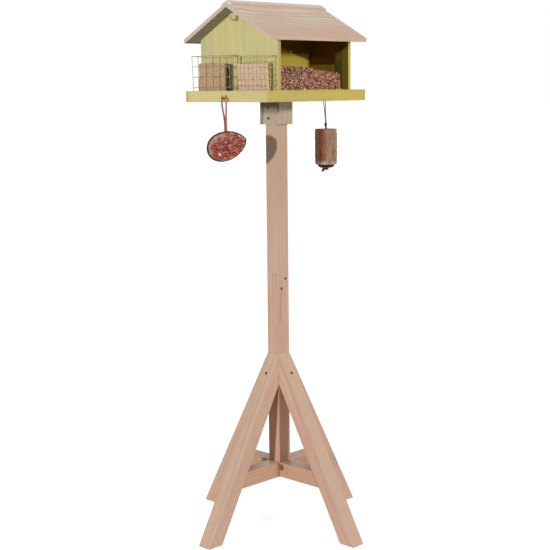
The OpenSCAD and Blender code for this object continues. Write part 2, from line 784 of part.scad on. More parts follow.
// The string ends above in the knot of the cord, and below in a plug with a ribbon tail
module roll_string() {
    r = string_d / 2;
    plug_r = plug_d / 2;
    low = -roll_drop - roll_h;
    plug_low = low - plug_h;
    color([0.45, 0.20, 0.16]) in_roll() rotate_extrude()
        polygon([[0, plug_low - tail_h], [tail_tip_r, plug_low - tail_h + tail_round],
            [tail_r, plug_low - tail_widest], [r, plug_low],
            [plug_r - plug_edge, plug_low], [plug_r, plug_low + plug_edge], [plug_r, low - fit],
            [r, low - fit], [r, knot_z - knot_half], [knot_r, knot_z - knot_half / 2],
            [knot_r, knot_z + knot_half / 2], [r, knot_z + knot_half - run], [0, knot_z + knot_half - run]]);
}
module roll_cord() {
    color([0.72, 0.66, 0.62]) translate([bowl_x, 0, bowl_z]) tube(roll_route, roll_cord_d);
}

lower_post();
upper_post();
leg(0);  // leg_right
leg(1);  // leg_back
leg(2);  // leg_left
leg(3);  // leg_front
cross_beam_x();
cross_beam_y();
leg_screws();
splice_screws();
crossing_screws();
beam_nails();
collar_side(-1);  // collar_left
collar_side(1);  // collar_right
collar_face(-1);  // collar_front
collar_face(1);  // collar_back
collar_screws();
tray_floor();
long_rail(-1);  // front_rail
long_rail(1);  // back_rail
end_rail(-1);  // left_rail
end_rail(1);  // right_rail
rail_nails();
floor_screws();
left_gable();
right_gable();
partition();
gable_screws();
panel(-1);  // front_panel
panel(1);  // back_panel
seed(-1);  // front_seed
spill(-1);  // front_spill
seed(1);  // back_seed
spill(1);  // back_spill
roof_board(-1);  // roof_front
roof_board(1);  // roof_back
roof_nails();
ridge_strip(-1);  // ridge_strip_front
ridge_strip(1);  // ridge_strip_back
cage_face(coarse_depth, coarse_inner_y, cage_y, coarse_cols(), coarse_rows, coarse_h);  // coarse_cage_face
coarse_end(cage_y);  // coarse_cage_outer_end
coarse_end(coarse_inner_y);  // coarse_cage_inner_end
cage_face(fine_depth, -cage_y, fine_inner_y, fine_cols(), fine_rows, fine_h);  // fine_cage_face
fine_end(-cage_y);  // fine_cage_outer_end
fine_end(fine_inner_y);  // fine_cage_inner_end
cage_staples();
red_suet_block();
pink_suet_block();
gable_hook(-1);  // left_gable_hook
gable_hook(1);  // right_gable_hook
rail_hook(-1);  // left_rail_hook
rail_hook(1);  // right_rail_hook
bay_hook();
coconut_shell();
coconut_fat();
coconut_nuts();
coconut_cord();
suet_roll();
roll_string();
roll_cord();
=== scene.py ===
import math

import bmesh
import bpy
import numpy as np
from mathutils import Matrix, Vector


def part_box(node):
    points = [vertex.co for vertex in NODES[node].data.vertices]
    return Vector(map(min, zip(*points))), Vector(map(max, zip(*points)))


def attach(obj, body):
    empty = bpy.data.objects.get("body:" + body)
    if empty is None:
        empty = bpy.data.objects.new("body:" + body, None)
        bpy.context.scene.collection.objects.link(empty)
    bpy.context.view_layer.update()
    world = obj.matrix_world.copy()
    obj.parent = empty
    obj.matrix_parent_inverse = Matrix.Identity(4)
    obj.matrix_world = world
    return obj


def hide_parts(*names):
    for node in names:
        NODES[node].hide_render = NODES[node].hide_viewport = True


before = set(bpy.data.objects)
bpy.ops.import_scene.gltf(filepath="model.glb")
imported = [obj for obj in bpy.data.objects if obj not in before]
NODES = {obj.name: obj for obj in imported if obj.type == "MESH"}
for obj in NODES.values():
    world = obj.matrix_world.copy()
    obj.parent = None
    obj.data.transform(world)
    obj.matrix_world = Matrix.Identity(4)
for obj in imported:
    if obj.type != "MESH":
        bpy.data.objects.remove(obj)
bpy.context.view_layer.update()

# Lengths are in millimetres in the row frame, and MM turns them into Blender's metres.
MM = 0.001
scene = bpy.context.scene
rng = np.random.default_rng(11)

LEFT, RIGHT = (-1, 0, 0), (1, 0, 0)
FRONT, BACK = (0, -1, 0), (0, 1, 0)
DOWN, UP = (0, 0, -1), (0, 0, 1)

# Places and sizes that part.scad gives to the nodes round the new pieces
FLOOR_TOP = 1149
GABLE_X = 134
BAY_HALF = 125
HOOK_X = 187.1
HOOK_Z = 1148
COARSE_REACH = 33.55
FINE_REACH = 24
RED_BLOCK = (16, 100, 89)
PINK_BLOCK = (16, 112, 86)
PINK_LEAN = math.radians(3.3)
ROLL_X = HOOK_X + 5.5
ROLL_TOP = HOOK_Z - 85
ROLL_H = 98
ROLL_LOW = ROLL_TOP - ROLL_H

QUARTER = math.pi / 2
WORLD_FILL = 0.18


# Camera

def set_camera():
    """The photograph's camera: place, direction, roll and focal length in pixels of a 550 pixel frame."""
    place = Vector((-2332.6, -2286.6, 1179.14)) * MM
    azimuth, pitch, tilt = -0.793, 0.1512, -0.0100
    focal, frame_px, sensor = 1241.02, 550, 36
    right = Vector((math.cos(azimuth), math.sin(azimuth), 0))
    level = math.cos(pitch)
    back = Vector((math.sin(azimuth) * level, -math.cos(azimuth) * level, math.sin(pitch)))
    up = back.cross(right)
    turned_right = math.cos(tilt) * right + math.sin(tilt) * up
    turned_up = math.cos(tilt) * up - math.sin(tilt) * right
    data = bpy.data.cameras.new("camera")
    data.sensor_width = sensor
    data.lens = focal * sensor / frame_px
    data.clip_end = 100
    camera = bpy.data.objects.new("camera", data)
    axes = Matrix((turned_right, turned_up, back)).transposed()
    camera.matrix_world = Matrix.Translation(place) @ axes.to_4x4()
    scene.collection.objects.link(camera)
    scene.camera = camera


# Node materials. A colour is a linear grey, given as one number, or an 8-bit sRGB colour.

def linear(colour):
    """A colour as linear RGBA. A socket stays as it is."""
    if isinstance(colour, bpy.types.NodeSocket):
        return colour
    if isinstance(colour, (int, float)):
        return (colour, colour, colour, 1.0)
    shares = [c / 255 for c in colour]
    return (*(s / 12.92 if s <= 0.04045 else ((s + 0.055) / 1.055) ** 2.4 for s in shares), 1.0)


class Graph:
    """A material or the world, built node by node. at is the place on the object in metres."""

    def __init__(self, name, world=False):
        self.owner = (bpy.data.worlds if world else bpy.data.materials).new(name)
        self.owner.use_nodes = True
        self.tree = self.owner.node_tree
        self.tree.nodes.clear()
        if not world:
            coords = self.node("ShaderNodeTexCoord").outputs
            self.at, self.normal = coords["Object"], coords["Normal"]

    def feed(self, socket, value):
        if isinstance(value, bpy.types.NodeSocket):
            self.tree.links.new(value, socket)
        else:
            socket.default_value = value

    def node(self, kind, feeds=(), **settings):
        made = self.tree.nodes.new(kind)
        for key, value in settings.items():
            setattr(made, key, value)
        for key, value in dict(feeds).items():
            self.feed(made.inputs[key], value)
        return made

    def math(self, operation, *values):
        return self.node("ShaderNodeMath", enumerate(values), operation=operation).outputs[0]

    def plus(self, a, b):
        return self.math("ADD", a, b)

    def times(self, a, b):
        return self.math("MULTIPLY", a, b)

    def vector(self, operation, *values):
        made = self.node("ShaderNodeVectorMath", enumerate(values), operation=operation)
        return made.outputs["Value" if operation in ("LENGTH", "DOT_PRODUCT") else "Vector"]

    def scaled(self, vector, factor):
        return self.node("ShaderNodeVectorMath", {0: vector, "Scale": factor}, operation="SCALE").outputs[0]

    def along(self, direction, vector=None):
        """How far a vector, or the place, goes in a direction."""
        return self.vector("DOT_PRODUCT", self.at if vector is None else vector, direction)

    def noise(self, scale, detail=2.0, roughness=0.5, at=None, colour=False):
        """Noise with scale cells a metre, one number or one for each axis."""
        at = self.at if at is None else at
        if isinstance(scale, tuple):
            at = self.vector("MULTIPLY", at, scale)
            scale = 1.0
        feeds = {"Vector": at, "Scale": scale, "Detail": detail, "Roughness": roughness}
        return self.node("ShaderNodeTexNoise", feeds).outputs[1 if colour else 0]

    def wavy(self, scale, reach, at=None):
        """The place, moved about by noise over reach metres."""
        at = self.at if at is None else at
        about = self.vector("SUBTRACT", self.noise(scale, 2, at=at, colour=True), (0.5, 0.5, 0.5))
        return self.vector("ADD", at, self.scaled(about, reach))

    def cells(self, scale, at=None, output="Distance"):
        feeds = {"Vector": self.at if at is None else at, "Scale": scale}
        return self.node("ShaderNodeTexVoronoi", feeds).outputs[output]

    def span(self, value, low, high, to_low=0.0, to_high=1.0):
        """value, from low to high, brought to to_low to to_high and kept there."""
        feeds = {0: value, 1: low, 2: high, 3: to_low, 4: to_high}
        return self.node("ShaderNodeMapRange", feeds, interpolation_type="SMOOTHSTEP").outputs[0]

    def ramp(self, factor, *stops):
        made = self.node("ShaderNodeValToRGB", {0: factor})
        elements = made.color_ramp.elements
        while len(elements) < len(stops):
            elements.new(0.5)
        for element, (place, _) in zip(elements, stops):
            element.position = place
        for element, (_, colour) in zip(elements, stops):
            element.color = linear(colour)
        return made.outputs[0]

    def mix(self, factor, low, high, blend="MIX"):
        feeds = {0: factor, 6: linear(low), 7: linear(high)}
        return self.node("ShaderNodeMix", feeds, data_type="RGBA", blend_type=blend).outputs[2]

    def toned(self, colour, factor, low, high, dark, bright):
        """A colour times dark to bright, as factor goes from low to high."""
        return self.mix(1.0, colour, self.ramp(factor, (low, dark), (high, bright)), "MULTIPLY")

    def by_island(self, *stops):
        """A ramp over a random number for each loose body of a mesh."""
        return self.ramp(self.node("ShaderNodeNewGeometry").outputs["Random Per Island"], *stops)

    def near_line(self, at, start, end, width, soft):
        """1 within width of the line from start to end, and 0 from width + soft, all in millimetres."""
        start, end = Vector(start) * MM, Vector(end) * MM
        line = end - start
        offset = self.vector("SUBTRACT", at, tuple(start))
        share = self.math("DIVIDE", self.along(tuple(line), offset), line.length_squared)
        share = self.math("MINIMUM", self.math("MAXIMUM", share, 0.0), 1.0)
        away = self.vector("LENGTH", self.vector("SUBTRACT", offset, self.scaled(tuple(line), share)))
        return self.span(away, width * MM, (width + soft) * MM, 1.0, 0.0)

    def bevel(self, radius):
        return self.node("ShaderNodeBevel", {"Radius": radius * MM}, samples=4).outputs[0]

    def bump(self, height, distance, strength=1.0, radius=0.0):
        """Normal from a height of 0 to 1 that stands for distance millimetres. radius rounds the edges."""
        feeds = {"Height": height, "Distance": distance * MM, "Strength": strength}
        if radius:
            feeds["Normal"] = self.bevel(radius)
        return self.node("ShaderNodeBump", feeds).outputs[0]

    def seen(self):
        """1 for the rays of the camera, of gloss and through clear things, 0 for the others."""
        path = self.node("ShaderNodeLightPath").outputs
        gloss = self.math("MAXIMUM", path["Is Glossy Ray"], path["Is Transmission Ray"])
        return self.math("MAXIMUM", path["Is Camera Ray"], gloss)

    def output(self, shader, kind="ShaderNodeOutputMaterial"):
        self.node(kind, {"Surface": shader.outputs[0]})
        return self.owner

    def finish(self, colour, roughness, normal, **more):
        feeds = {"Base Color": colour, "Roughness": roughness}
        if normal is not None:
            feeds["Normal"] = normal
        feeds.update({key.replace("_", " "): value for key, value in more.items()})
        return self.output(self.node("ShaderNodeBsdfPrincipled", feeds))

    def skin(self, colour, tone, rough, smooth, bump, relief=None, **more):
        """finish, with a roughness by tone and a bump of tone or of relief."""
        height = tone if relief is None else relief
        return self.finish(colour, self.span(tone, 0.3, 0.7, rough, smooth), self.bump(height, *bump), **more)


def plain_material(name, noise, stops, roughness, bump, **more):
    """One noise that gives both the colour and the relief."""
    g = Graph(name)
    tone = g.noise(*noise)
    return g.finish(g.ramp(tone, *stops), roughness, g.bump(tone, *bump), **more)


def metal(name, base, dark, roughness, spots):
    """Metal with a patina: spots of dark, spots cells a metre."""
    g = Graph(name)
    patch = g.span(g.noise(spots, 4, 0.65), 0.42, 0.62)
    rough = g.span(patch, 0.0, 1.0, roughness, roughness + 0.25)
    relief = g.bump(g.noise(spots * 6, 2), 0.08, 0.5, 0.3)
    return g.finish(g.mix(patch, base, dark), rough, relief, Metallic=0.85)


def wire_material(name, bright, dull):
    g = Graph(name)
    zinc = g.mix(g.span(g.noise(120, 3, 0.7), 0.4, 0.7), bright, dull)
    return g.finish(zinc, 0.42, g.bump(g.noise(900, 2), 0.06, 0.5), Metallic=0.3)


def clear_panel():
    """A clear sheet: mostly see-through, with more gloss at a flat angle."""
    g = Graph("clear_panel")
    edge = g.node("ShaderNodeFresnel", {"IOR": 1.3}).outputs[0]
    dust = g.span(g.noise(70, 4, 0.7), 0.45, 0.75, 0.0, 0.003)
    alpha = g.plus(g.span(edge, 0.05, 0.9, 0.002, 0.3), dust)
    colour = g.mix(g.span(g.noise(40, 2), 0.3, 0.7), (100, 94, 62), (124, 116, 78))
    return g.finish(colour, g.span(g.noise(300, 3), 0.3, 0.7, 0.06, 0.16), None, Alpha=alpha)


def cord_material(name, pale, middle, dark):
    """Laid fibre: colour by strand, with fine threads along it."""
    g = Graph(name)
    island = g.node("ShaderNodeNewGeometry").outputs["Random Per Island"]
    thread = g.noise((900, 900, 240), 3, 0.7)
    colour = g.mix(g.span(thread, 0.42, 0.66), g.mix(g.span(island, 0.2, 0.8), middle, dark), pale)
    colour = g.mix(g.span(g.noise(160, 2), 0.55, 0.75, 0.0, 0.5), colour, dark)
    return g.finish(colour, 0.85, g.bump(thread, 0.25, 0.9), Sheen_Weight=0.25)


def seed_skin(name, *stops):
    """Seed: a colour of its own for each seed, with a faint length grain."""
    g = Graph(name)
    speck = g.noise(700, 3, 0.6)
    colour = g.toned(g.by_island(*stops), speck, 0.3, 0.7, 0.72, 1.12)
    return g.skin(colour, speck, 0.62, 0.42, (0.2, 0.6), Specular_IOR_Level=0.3)


def suet_material(name, pale, middle, dark, flake, end):
    """Pressed suet. Its ends along Y are painted darker, as painted shade."""
    g = Graph(name)
    grain = g.noise(240, 4, 0.7)
    colour = g.ramp(grain, (0.32, dark), (0.5, middle), (0.68, pale))
    bits = g.times(g.span(g.cells(260), 0.1, 0.26, 1.0, 0.0), g.span(g.noise(60, 2), 0.45, 0.6))
    colour = g.mix(bits, colour, flake)
    # Painted shade: the faces along Y get the dark end colour.
    sideways = g.math("ABSOLUTE", g.along(BACK, g.normal))
    painted_end_shade = g.mix(g.span(g.noise(420, 3), 0.5, 0.68), end, (138, 104, 76))
    colour = g.mix(g.span(sideways, 0.55, 0.8, 0.0, 0.9), colour, painted_end_shade)
    height = g.plus(g.times(grain, 0.6), g.times(g.cells(150), 0.4))
    return g.skin(colour, grain, 0.45, 0.75, (0.7, 0.8), height, Subsurface_Weight=0.12,
                  Subsurface_Scale=0.004, Specular_IOR_Level=0.25)


def heap_material():
    """The heap between the seeds: cells of seed size, darker towards their edges as painted shade between the
    grains.
    """
    g = Graph("seed_heap")
    moved = g.vector("ADD", g.at, g.scaled(g.noise(300, 1, colour=True), 0.002))
    tone = g.node("ShaderNodeSeparateColor", {0: g.cells(230, moved, "Color")}).outputs[0]
    # Painted shade between the grains: each cell is darker towards its edge.
    gap = g.span(g.cells(230, moved), 0.25, 0.62, 1.0, 0.35)
    colour = g.ramp(tone, (0.1, (78, 42, 32)), (0.45, (128, 82, 64)), (0.8, (170, 126, 104)))
    return g.finish(g.toned(colour, gap, 0.0, 1.0, 0.3, 1.0), 0.75, g.bump(gap, 2.0, 1.0))


def husk_material():
    g = Graph("coconut_husk")
    hair = g.noise((60, 900, 900), 4, 0.7)
    colour = g.ramp(hair, (0.3, (22, 24, 22)), (0.52, (44, 46, 40)), (0.78, (88, 82, 68)))
    colour = g.mix(g.span(g.noise(45, 3), 0.5, 0.7, 0.0, 0.5), colour, (48, 56, 46))
    return g.finish(colour, 0.82, g.bump(hair, 1.0, 1.0))


def fat_material():
    g = Graph("coconut_fat")
    soft = g.noise(150, 4, 0.6)
    colour = g.ramp(soft, (0.3, (108, 72, 54)), (0.5, (152, 116, 92)), (0.75, (184, 152, 128)))
    dark = g.times(g.span(g.cells(170), 0.06, 0.16, 0.75, 0.0), g.span(g.noise(50), 0.5, 0.6))
    colour = g.mix(dark, colour, (96, 60, 48))
    return g.skin(colour, soft, 0.35, 0.6, (1.0, 0.8), Subsurface_Weight=0.15, Subsurface_Scale=0.004)


def nut_material():
    g = Graph("red_nuts")
    vein = g.noise((260, 260, 260), 3, 0.6)
    base = g.by_island((0.0, (84, 18, 18)), (0.3, (132, 30, 28)), (0.75, (156, 40, 32)),
                       (0.97, (166, 80, 52)))
    colour = g.mix(g.span(vein, 0.52, 0.74, 0.0, 0.25), base, (186, 86, 74))
    return g.skin(colour, vein, 0.26, 0.44, (0.4, 0.7))


def roll_material():
    """The roll's suet: its colour goes round it as painted shade and light, darkest on its side toward -X and
    +Y and greyer at both edges as a painted sheen, and its foot is speckled pale and dark.
    """
    g = Graph("roll_suet")
    streak = g.noise((200, 200, 48), 4, 0.7)
    grain = g.noise(330, 4, 0.7)
    flat = g.vector("MULTIPLY", g.vector("SUBTRACT", g.at, (ROLL_X * MM, 0, 0)), (1, 1, 0))
    across = g.along((0.70, -0.71, 0), g.vector("NORMALIZE", flat))
    across = g.plus(across, g.times(g.math("SUBTRACT", streak, 0.5), 0.55))
    # Painted shade and sheen: dark toward -X and +Y, greyer where across nears -1 and 1.
    colour = g.ramp(g.span(across, -1.0, 1.0), (0.012, (140, 112, 90)), (0.065, (94, 56, 36)),
                    (0.156, (96, 52, 32)), (0.27, (122, 74, 54)), (0.40, (134, 92, 72)),
                    (0.55, (146, 116, 96)), (0.72, (154, 112, 88)), (0.94, (150, 126, 98)),
                    (0.995, (168, 144, 116)))
    colour = g.toned(colour, streak, 0.32, 0.68, 0.7, 1.22)
    colour = g.toned(colour, grain, 0.3, 0.7, 0.8, 1.15)
    spots = g.times(g.span(g.cells(150), 0.08, 0.2, 0.9, 0.0), g.span(g.noise(70), 0.5, 0.62))
    colour = g.mix(spots, colour, (84, 48, 38))
    height = g.plus(g.along(UP), g.times(g.noise(90, 2), 0.016))
    foot = g.span(height, (ROLL_LOW + 12) * MM, (ROLL_LOW + 24) * MM, 0.85, 0.0)
    speckle = g.ramp(g.noise(300, 2), (0.38, (26, 22, 22)), (0.45, (140, 116, 94)), (0.58, (204, 198, 180)))
    colour = g.mix(g.times(foot, g.span(g.noise(110, 2), 0.4, 0.56)), colour, speckle)
    relief = g.plus(g.times(grain, 0.5), g.times(g.cells(120), 0.5))
    return g.skin(colour, grain, 0.5, 0.8, (1.4, 0.9), relief, Subsurface_Weight=0.08,
                  Subsurface_Scale=0.003, Specular_IOR_Level=0.15)


def plug_material():
    """Nearly black crumb, red at its upper edge."""
    g = Graph("dark_plug")
    crumb = g.noise(300, 4, 0.7)
    height = g.plus(g.along(UP), g.times(g.noise(90, 2), 0.003))
    below = g.span(height, (ROLL_LOW - 4.6) * MM, (ROLL_LOW - 3.4) * MM, 1.0, 0.0)
    colour = g.mix(below, g.ramp(crumb, (0.3, (18, 12, 12)), (0.7, (44, 26, 24))),
                   g.ramp(crumb, (0.3, (124, 40, 30)), (0.7, (170, 70, 52))))
    return g.finish(colour, 0.7, g.bump(crumb, 0.8, 0.9), Specular_IOR_Level=0.15)


def paint(node_name, material):
    """Gives a CAD node one material, in all its slots."""
    mesh = NODES[node_name].data
    mesh.materials.clear()
    mesh.materials.append(material)


# Timber. faces are (direction, colour, strength, least) of sides that are tinted; some of these tints are
# painted light or shade, as said where they stand.

PLAIN = dict(ring=9, wander=9, cloud_share=0.5, fibre=0.16, dashes=0.22, rough=0.62, gloss=0.3,
             face_late=0.88, faces=())
STAND = dict(PLAIN, early=(203, 172, 149), late=(170, 127, 102), cloud=(191, 153, 130), wear=(222, 198, 178),
             ring=6.5, late_share=0.38)
# Painted light: leg faces that look up are painted lighter.
LEG = dict(STAND, early=(204, 169, 146), cloud=(194, 153, 133), faces=((UP, (212, 180, 154), 0.7, 0.3),))
POST_LOW = dict(STAND, early=(205, 168, 146), late=(172, 124, 98), cloud=(190, 146, 120))
# Painted light: the beams' top faces are painted lighter.
BEAM = dict(STAND, early=(196, 158, 130), late=(162, 118, 90), cloud=(184, 138, 108),
            faces=((UP, (226, 200, 180), 0.8, 0.5),))
COLLAR = dict(PLAIN, early=(204, 182, 158), late=(150, 126, 106), cloud=(178, 154, 132), wear=(216, 198, 178),
              ring=8, late_share=0.45, fibre=0.24)
COLLAR_LEFT = dict(COLLAR, early=(194, 180, 160), cloud=(168, 154, 138))
COLLAR_FRONT = dict(COLLAR, early=(202, 180, 156), cloud=(176, 152, 130))
STAIN_FRONT = (FRONT, (194, 172, 78), 0.85, 0.45)
STAIN_BACK = (BACK, (194, 172, 78), 0.85, 0.45)
STAIN = dict(PLAIN, early=(210, 198, 134), late=(186, 172, 108), cloud=(190, 188, 146), wear=(216, 208, 160),
             ring=21, late_share=0.22, rough=0.55, wander=22, cloud_share=0.7, dashes=0.3,
             faces=(STAIN_FRONT, STAIN_BACK))
FRONT_RAIL = dict(STAIN, early=(202, 182, 88), late=(178, 156, 70), cloud=(188, 174, 100),
                  faces=((UP, (188, 176, 110), 0.5, 0.5),))
END_RAIL = dict(STAIN, cloud=(204, 190, 128), early=(210, 198, 136), faces=())
PARTITION = dict(STAIN, early=(208, 188, 76), late=(164, 142, 50), cloud=(188, 166, 62), faces=(), gloss=0.1)
LEFT_GABLE = dict(STAIN, faces=(STAIN_FRONT, STAIN_BACK, (RIGHT, (170, 140, 44), 0.9, 0.5)))
# Painted shade: the +X gable's inner face (LEFT) is painted dark, as the inside of the bay is shaded.
RIGHT_GABLE = dict(STAIN, gloss=0.08, faces=((FRONT, (216, 198, 84), 0.9, 0.45), STAIN_BACK,
                                             (LEFT, (96, 82, 12), 1.0, 0.5)))
# Painted shade: the roof's underside (DOWN) is painted darker than its top.
ROOF = dict(PLAIN, early=(234, 220, 202), late=(200, 160, 132), cloud=(222, 192, 166), wear=(236, 224, 210),
            late_share=0.75, fibre=0.15, cloud_share=0.8, wander=26, face_late=0.8,
            faces=((RIGHT, (196, 184, 176), 0.75, 0.5), (LEFT, (196, 184, 176), 0.75, 0.5),
                   (DOWN, (140, 134, 112), 0.8, 0.5)))
STRIP = dict(PLAIN, early=(228, 220, 210), late=(210, 194, 178), cloud=(224, 210, 198), wear=(236, 230, 224),
             late_share=0.4, fibre=0.10)


def middle_of(node_name):
    low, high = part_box(node_name)
    return (low + high) / 2 / MM


def timber(name, grain, pith, looks, knots=(), streaks=(), stains_and_painted_light=()):
    """Paints a node as planed timber. Its growth rings' pith is off its middle by pith across the grain.
    A knot is (start, end, radius) of a branch through the timber, a streak is (start, end, width, colour,
    strength), and a stain or patch of painted light or shade is (sides, colour, strength), where each side is
    (direction, least, soft) and it lies where the place along every direction is past its least."""
    g = Graph(name)
    turn = Vector(grain).rotation_difference(Vector(UP)).to_matrix()
    shift = turn @ (Vector(middle_of(name)) * MM) + Vector((*pith, 0)) * MM
    feeds = {"Vector": g.at, "Rotation": turn.to_euler(), "Location": tuple(-shift)}
    at = g.node("ShaderNodeMapping", feeds).outputs[0]
    bent = g.vector("MULTIPLY", g.wavy((9, 9, 2.2), looks["wander"] * MM, at), (1, 1, 0))
    reach = g.vector("LENGTH", bent)
    knot = 0.0
    for start, end, radius in knots:
        wavy = g.wavy(160, 0.004)
        flow = g.near_line(wavy, start, end, radius, 3.2 * radius)
        reach = g.plus(reach, g.times(flow, 2.6 * radius * MM))
        knot = g.math("MAXIMUM", knot, g.near_line(wavy, start, end, radius * 0.8, radius * 0.5))
    rings = g.plus(g.math("DIVIDE", reach, looks["ring"] * MM), g.noise((5, 5, 0.7), 1, at=at))
    late = g.ramp(g.math("FRACT", rings), (0.0, 0.12), (0.12, 0.0), (0.55, 0.18), (0.86, 1.0), (0.97, 0.7))
    fibre = g.noise((850, 850, 20), 3, 0.6, at=at)
    cloud = g.span(g.noise((14, 14, 5), 3, 0.6, at=at), 0.35, 0.68, 0.0, looks["cloud_share"])
    dashes = g.span(g.noise((1900, 1900, 75), 1, at=at), 0.60, 0.74)
    colour = g.mix(g.times(late, looks["late_share"]), looks["early"], looks["late"])
    colour = g.mix(cloud, colour, looks["cloud"])
    colour = g.toned(colour, fibre, 0.25, 0.75, 1 - looks["fibre"], 1 + looks["fibre"] * 0.5)
    colour = g.mix(g.times(dashes, looks["dashes"]), colour, looks["late"])
    for start, end, width, tint, strength in streaks:
        mask = g.near_line(g.wavy((90, 90, 30), 0.006), start, end, width * 0.4, width * 0.8)
        colour = g.mix(g.times(mask, strength), colour, tint)
    if knots:
        bark = g.ramp(g.noise(420, 3), (0.3, (66, 34, 34)), (0.7, (120, 72, 60)))
        colour = g.mix(g.times(knot, 0.85), colour, bark)
    for direction, tint, strength, least in looks["faces"]:
        toward = g.span(g.along(direction, g.normal), least, least + 0.1, 0.0, strength)
        tint = g.toned(tint, fibre, 0.2, 0.8, 0.8, 1.1)
        colour = g.mix(toward, colour, g.toned(tint, late, 0.0, 1.0, 1.03, looks["face_late"]))
    for sides, tint, strength in stains_and_painted_light:
        mask = strength
        for direction, least, soft in sides:
            place = g.along(direction)
            if soft > 2:
                place = g.plus(place, g.times(g.noise((60, 60, 20), 2), 0.3 * soft * MM))
            mask = g.times(mask, g.span(place, least * MM, (least + soft) * MM))
        colour = g.mix(mask, colour, g.toned(tint, fibre, 0.2, 0.8, 0.7, 1.2))
    sharp = g.node("ShaderNodeNewGeometry").outputs["True Normal"]
    worn = g.span(g.vector("DOT_PRODUCT", g.bevel(1.6), sharp), 0.82, 0.985, 1.0, 0.0)
    worn = g.times(worn, g.span(g.noise(55, 3), 0.35, 0.62))
    colour = g.mix(g.times(worn, 0.35), colour, looks["wear"])
    height = g.plus(g.times(fibre, 0.7), g.times(late, 0.3))
    rough = g.span(fibre, 0.2, 0.8, looks["rough"] + 0.12, looks["rough"] - 0.06)
    paint(name, g.finish(colour, rough, g.bump(height, 0.35, 0.8, 1.0), Specular_IOR_Level=looks["gloss"]))


def paint_stand():
    rake = math.radians(29)
    uphill = {"leg_right": LEFT, "leg_back": FRONT, "leg_left": RIGHT, "leg_front": BACK}
    for k, (name, (x, y, _)) in enumerate(uphill.items()):
        grain = (x * math.sin(rake), y * math.sin(rake), math.cos(rake))
        timber(name, grain, (34 + 6 * k, 22 - 9 * k), LEG)
    knot = ((-30, -25.7, 160.2), (0, -27.5, 162), 8.2)
    crack = ((-20, -40.7, 156.7), (-20, -48.4, 141.7), 0.8, (70, 44, 38), 0.8)
    reddish = ((-8.2, -20, 641), (-14.2, -20, 558.7), 3.4, (176, 104, 78), 0.45)
    shaded = ((0, 0, 120), (0, 0, 372), 60, (204, 148, 118), 0.6)
    # Painted shadow of the tray over the top of the -X collar board.
    painted_tray_shadow = (((UP, 1103, 23),), (86, 72, 55), 0.8)
    timber("lower_post", UP, (38, 30), POST_LOW, streaks=(reddish, shaded))
    timber("upper_post", UP, (-42, 26), STAND)
    timber("cross_beam_x", RIGHT, (36, 34), BEAM)
    timber("cross_beam_y", BACK, (-40, 32), BEAM, knots=(knot,), streaks=(crack,))
    timber("collar_left", UP, (24, 10), COLLAR_LEFT, stains_and_painted_light=(painted_tray_shadow,))
    timber("collar_right", UP, (20, -16), COLLAR)
    timber("collar_front", UP, (-26, 14), COLLAR_FRONT)
    timber("collar_back", UP, (18, 26), COLLAR)


def paint_house():
    deep_shade = (((0.279, 0, 0.960), 1225.8, 7), (FRONT, 4, 0.5))
    inner_side = (LEFT, -126, 0.5)
    behind_slant = ((0, 0.952, 0.306), 286, 6)
    # Painted shade in the panel groove of the +X gable's inner face.
    painted_groove_shade = (((BACK, -120.6, 0.4), (FRONT, 114.4, 0.4), (LEFT, -131, 0.5)), (104, 90, 12), 0.95)
    inner_shade = (((BACK, -136, 34), inner_side), (72, 64, 8), 0.75)
    # Painted light: the deep part of the +X gable's inner face is painted a bright olive, which the painted
    # shadow next covers above z 1231.
    painted_lit_band = (((BACK, -95, 6), inner_side), (250, 218, 56), 0.9)
    # Painted shadow on the upper, deeper part of the +X gable's inner face, under a slanting edge.
    dark = (((UP, 1231, 6), behind_slant, inner_side), (118, 68, 6), 0.95)
    # Painted shadow of the red suet block on the -X gable, behind its end.
    painted_block_shadow = (((BACK, 20, 4), (FRONT, -38, 3), (DOWN, -1236, 3), (LEFT, 133, 0.5)), (48, 44, 24), 0.92)
    pink = (((DOWN, -1345, 40),), (222, 176, 152), 0.5)
    edge = ((-180, -19.5, 1379), (180, -19.5, 1379), 8, (216, 168, 138), 0.8)
    timber("tray_floor", RIGHT, (60, 50), STAIN)
    timber("front_rail", RIGHT, (30, 18), FRONT_RAIL)
    timber("back_rail", RIGHT, (-34, 20), FRONT_RAIL)
    timber("left_rail", BACK, (26, -22), END_RAIL)
    timber("right_rail", BACK, (-30, 24), END_RAIL)
    timber("left_gable", UP, (70, 90), LEFT_GABLE, stains_and_painted_light=(painted_block_shadow,))
    timber("right_gable", UP, (-80, 64), RIGHT_GABLE, stains_and_painted_light=(painted_groove_shade, inner_shade, painted_lit_band, dark))
    timber("partition", RIGHT, (60, 70), PARTITION, stains_and_painted_light=((deep_shade, (90, 58, 8), 0.9),))
    timber("ridge_strip_front", RIGHT, (20, 16), STRIP, streaks=(edge,))
    timber("ridge_strip_back", RIGHT, (-22, 18), STRIP)
    timber("roof_front", RIGHT, (40, 130), ROOF, stains_and_painted_light=(pink,))
    timber("roof_back", RIGHT, (52, -110), ROOF)


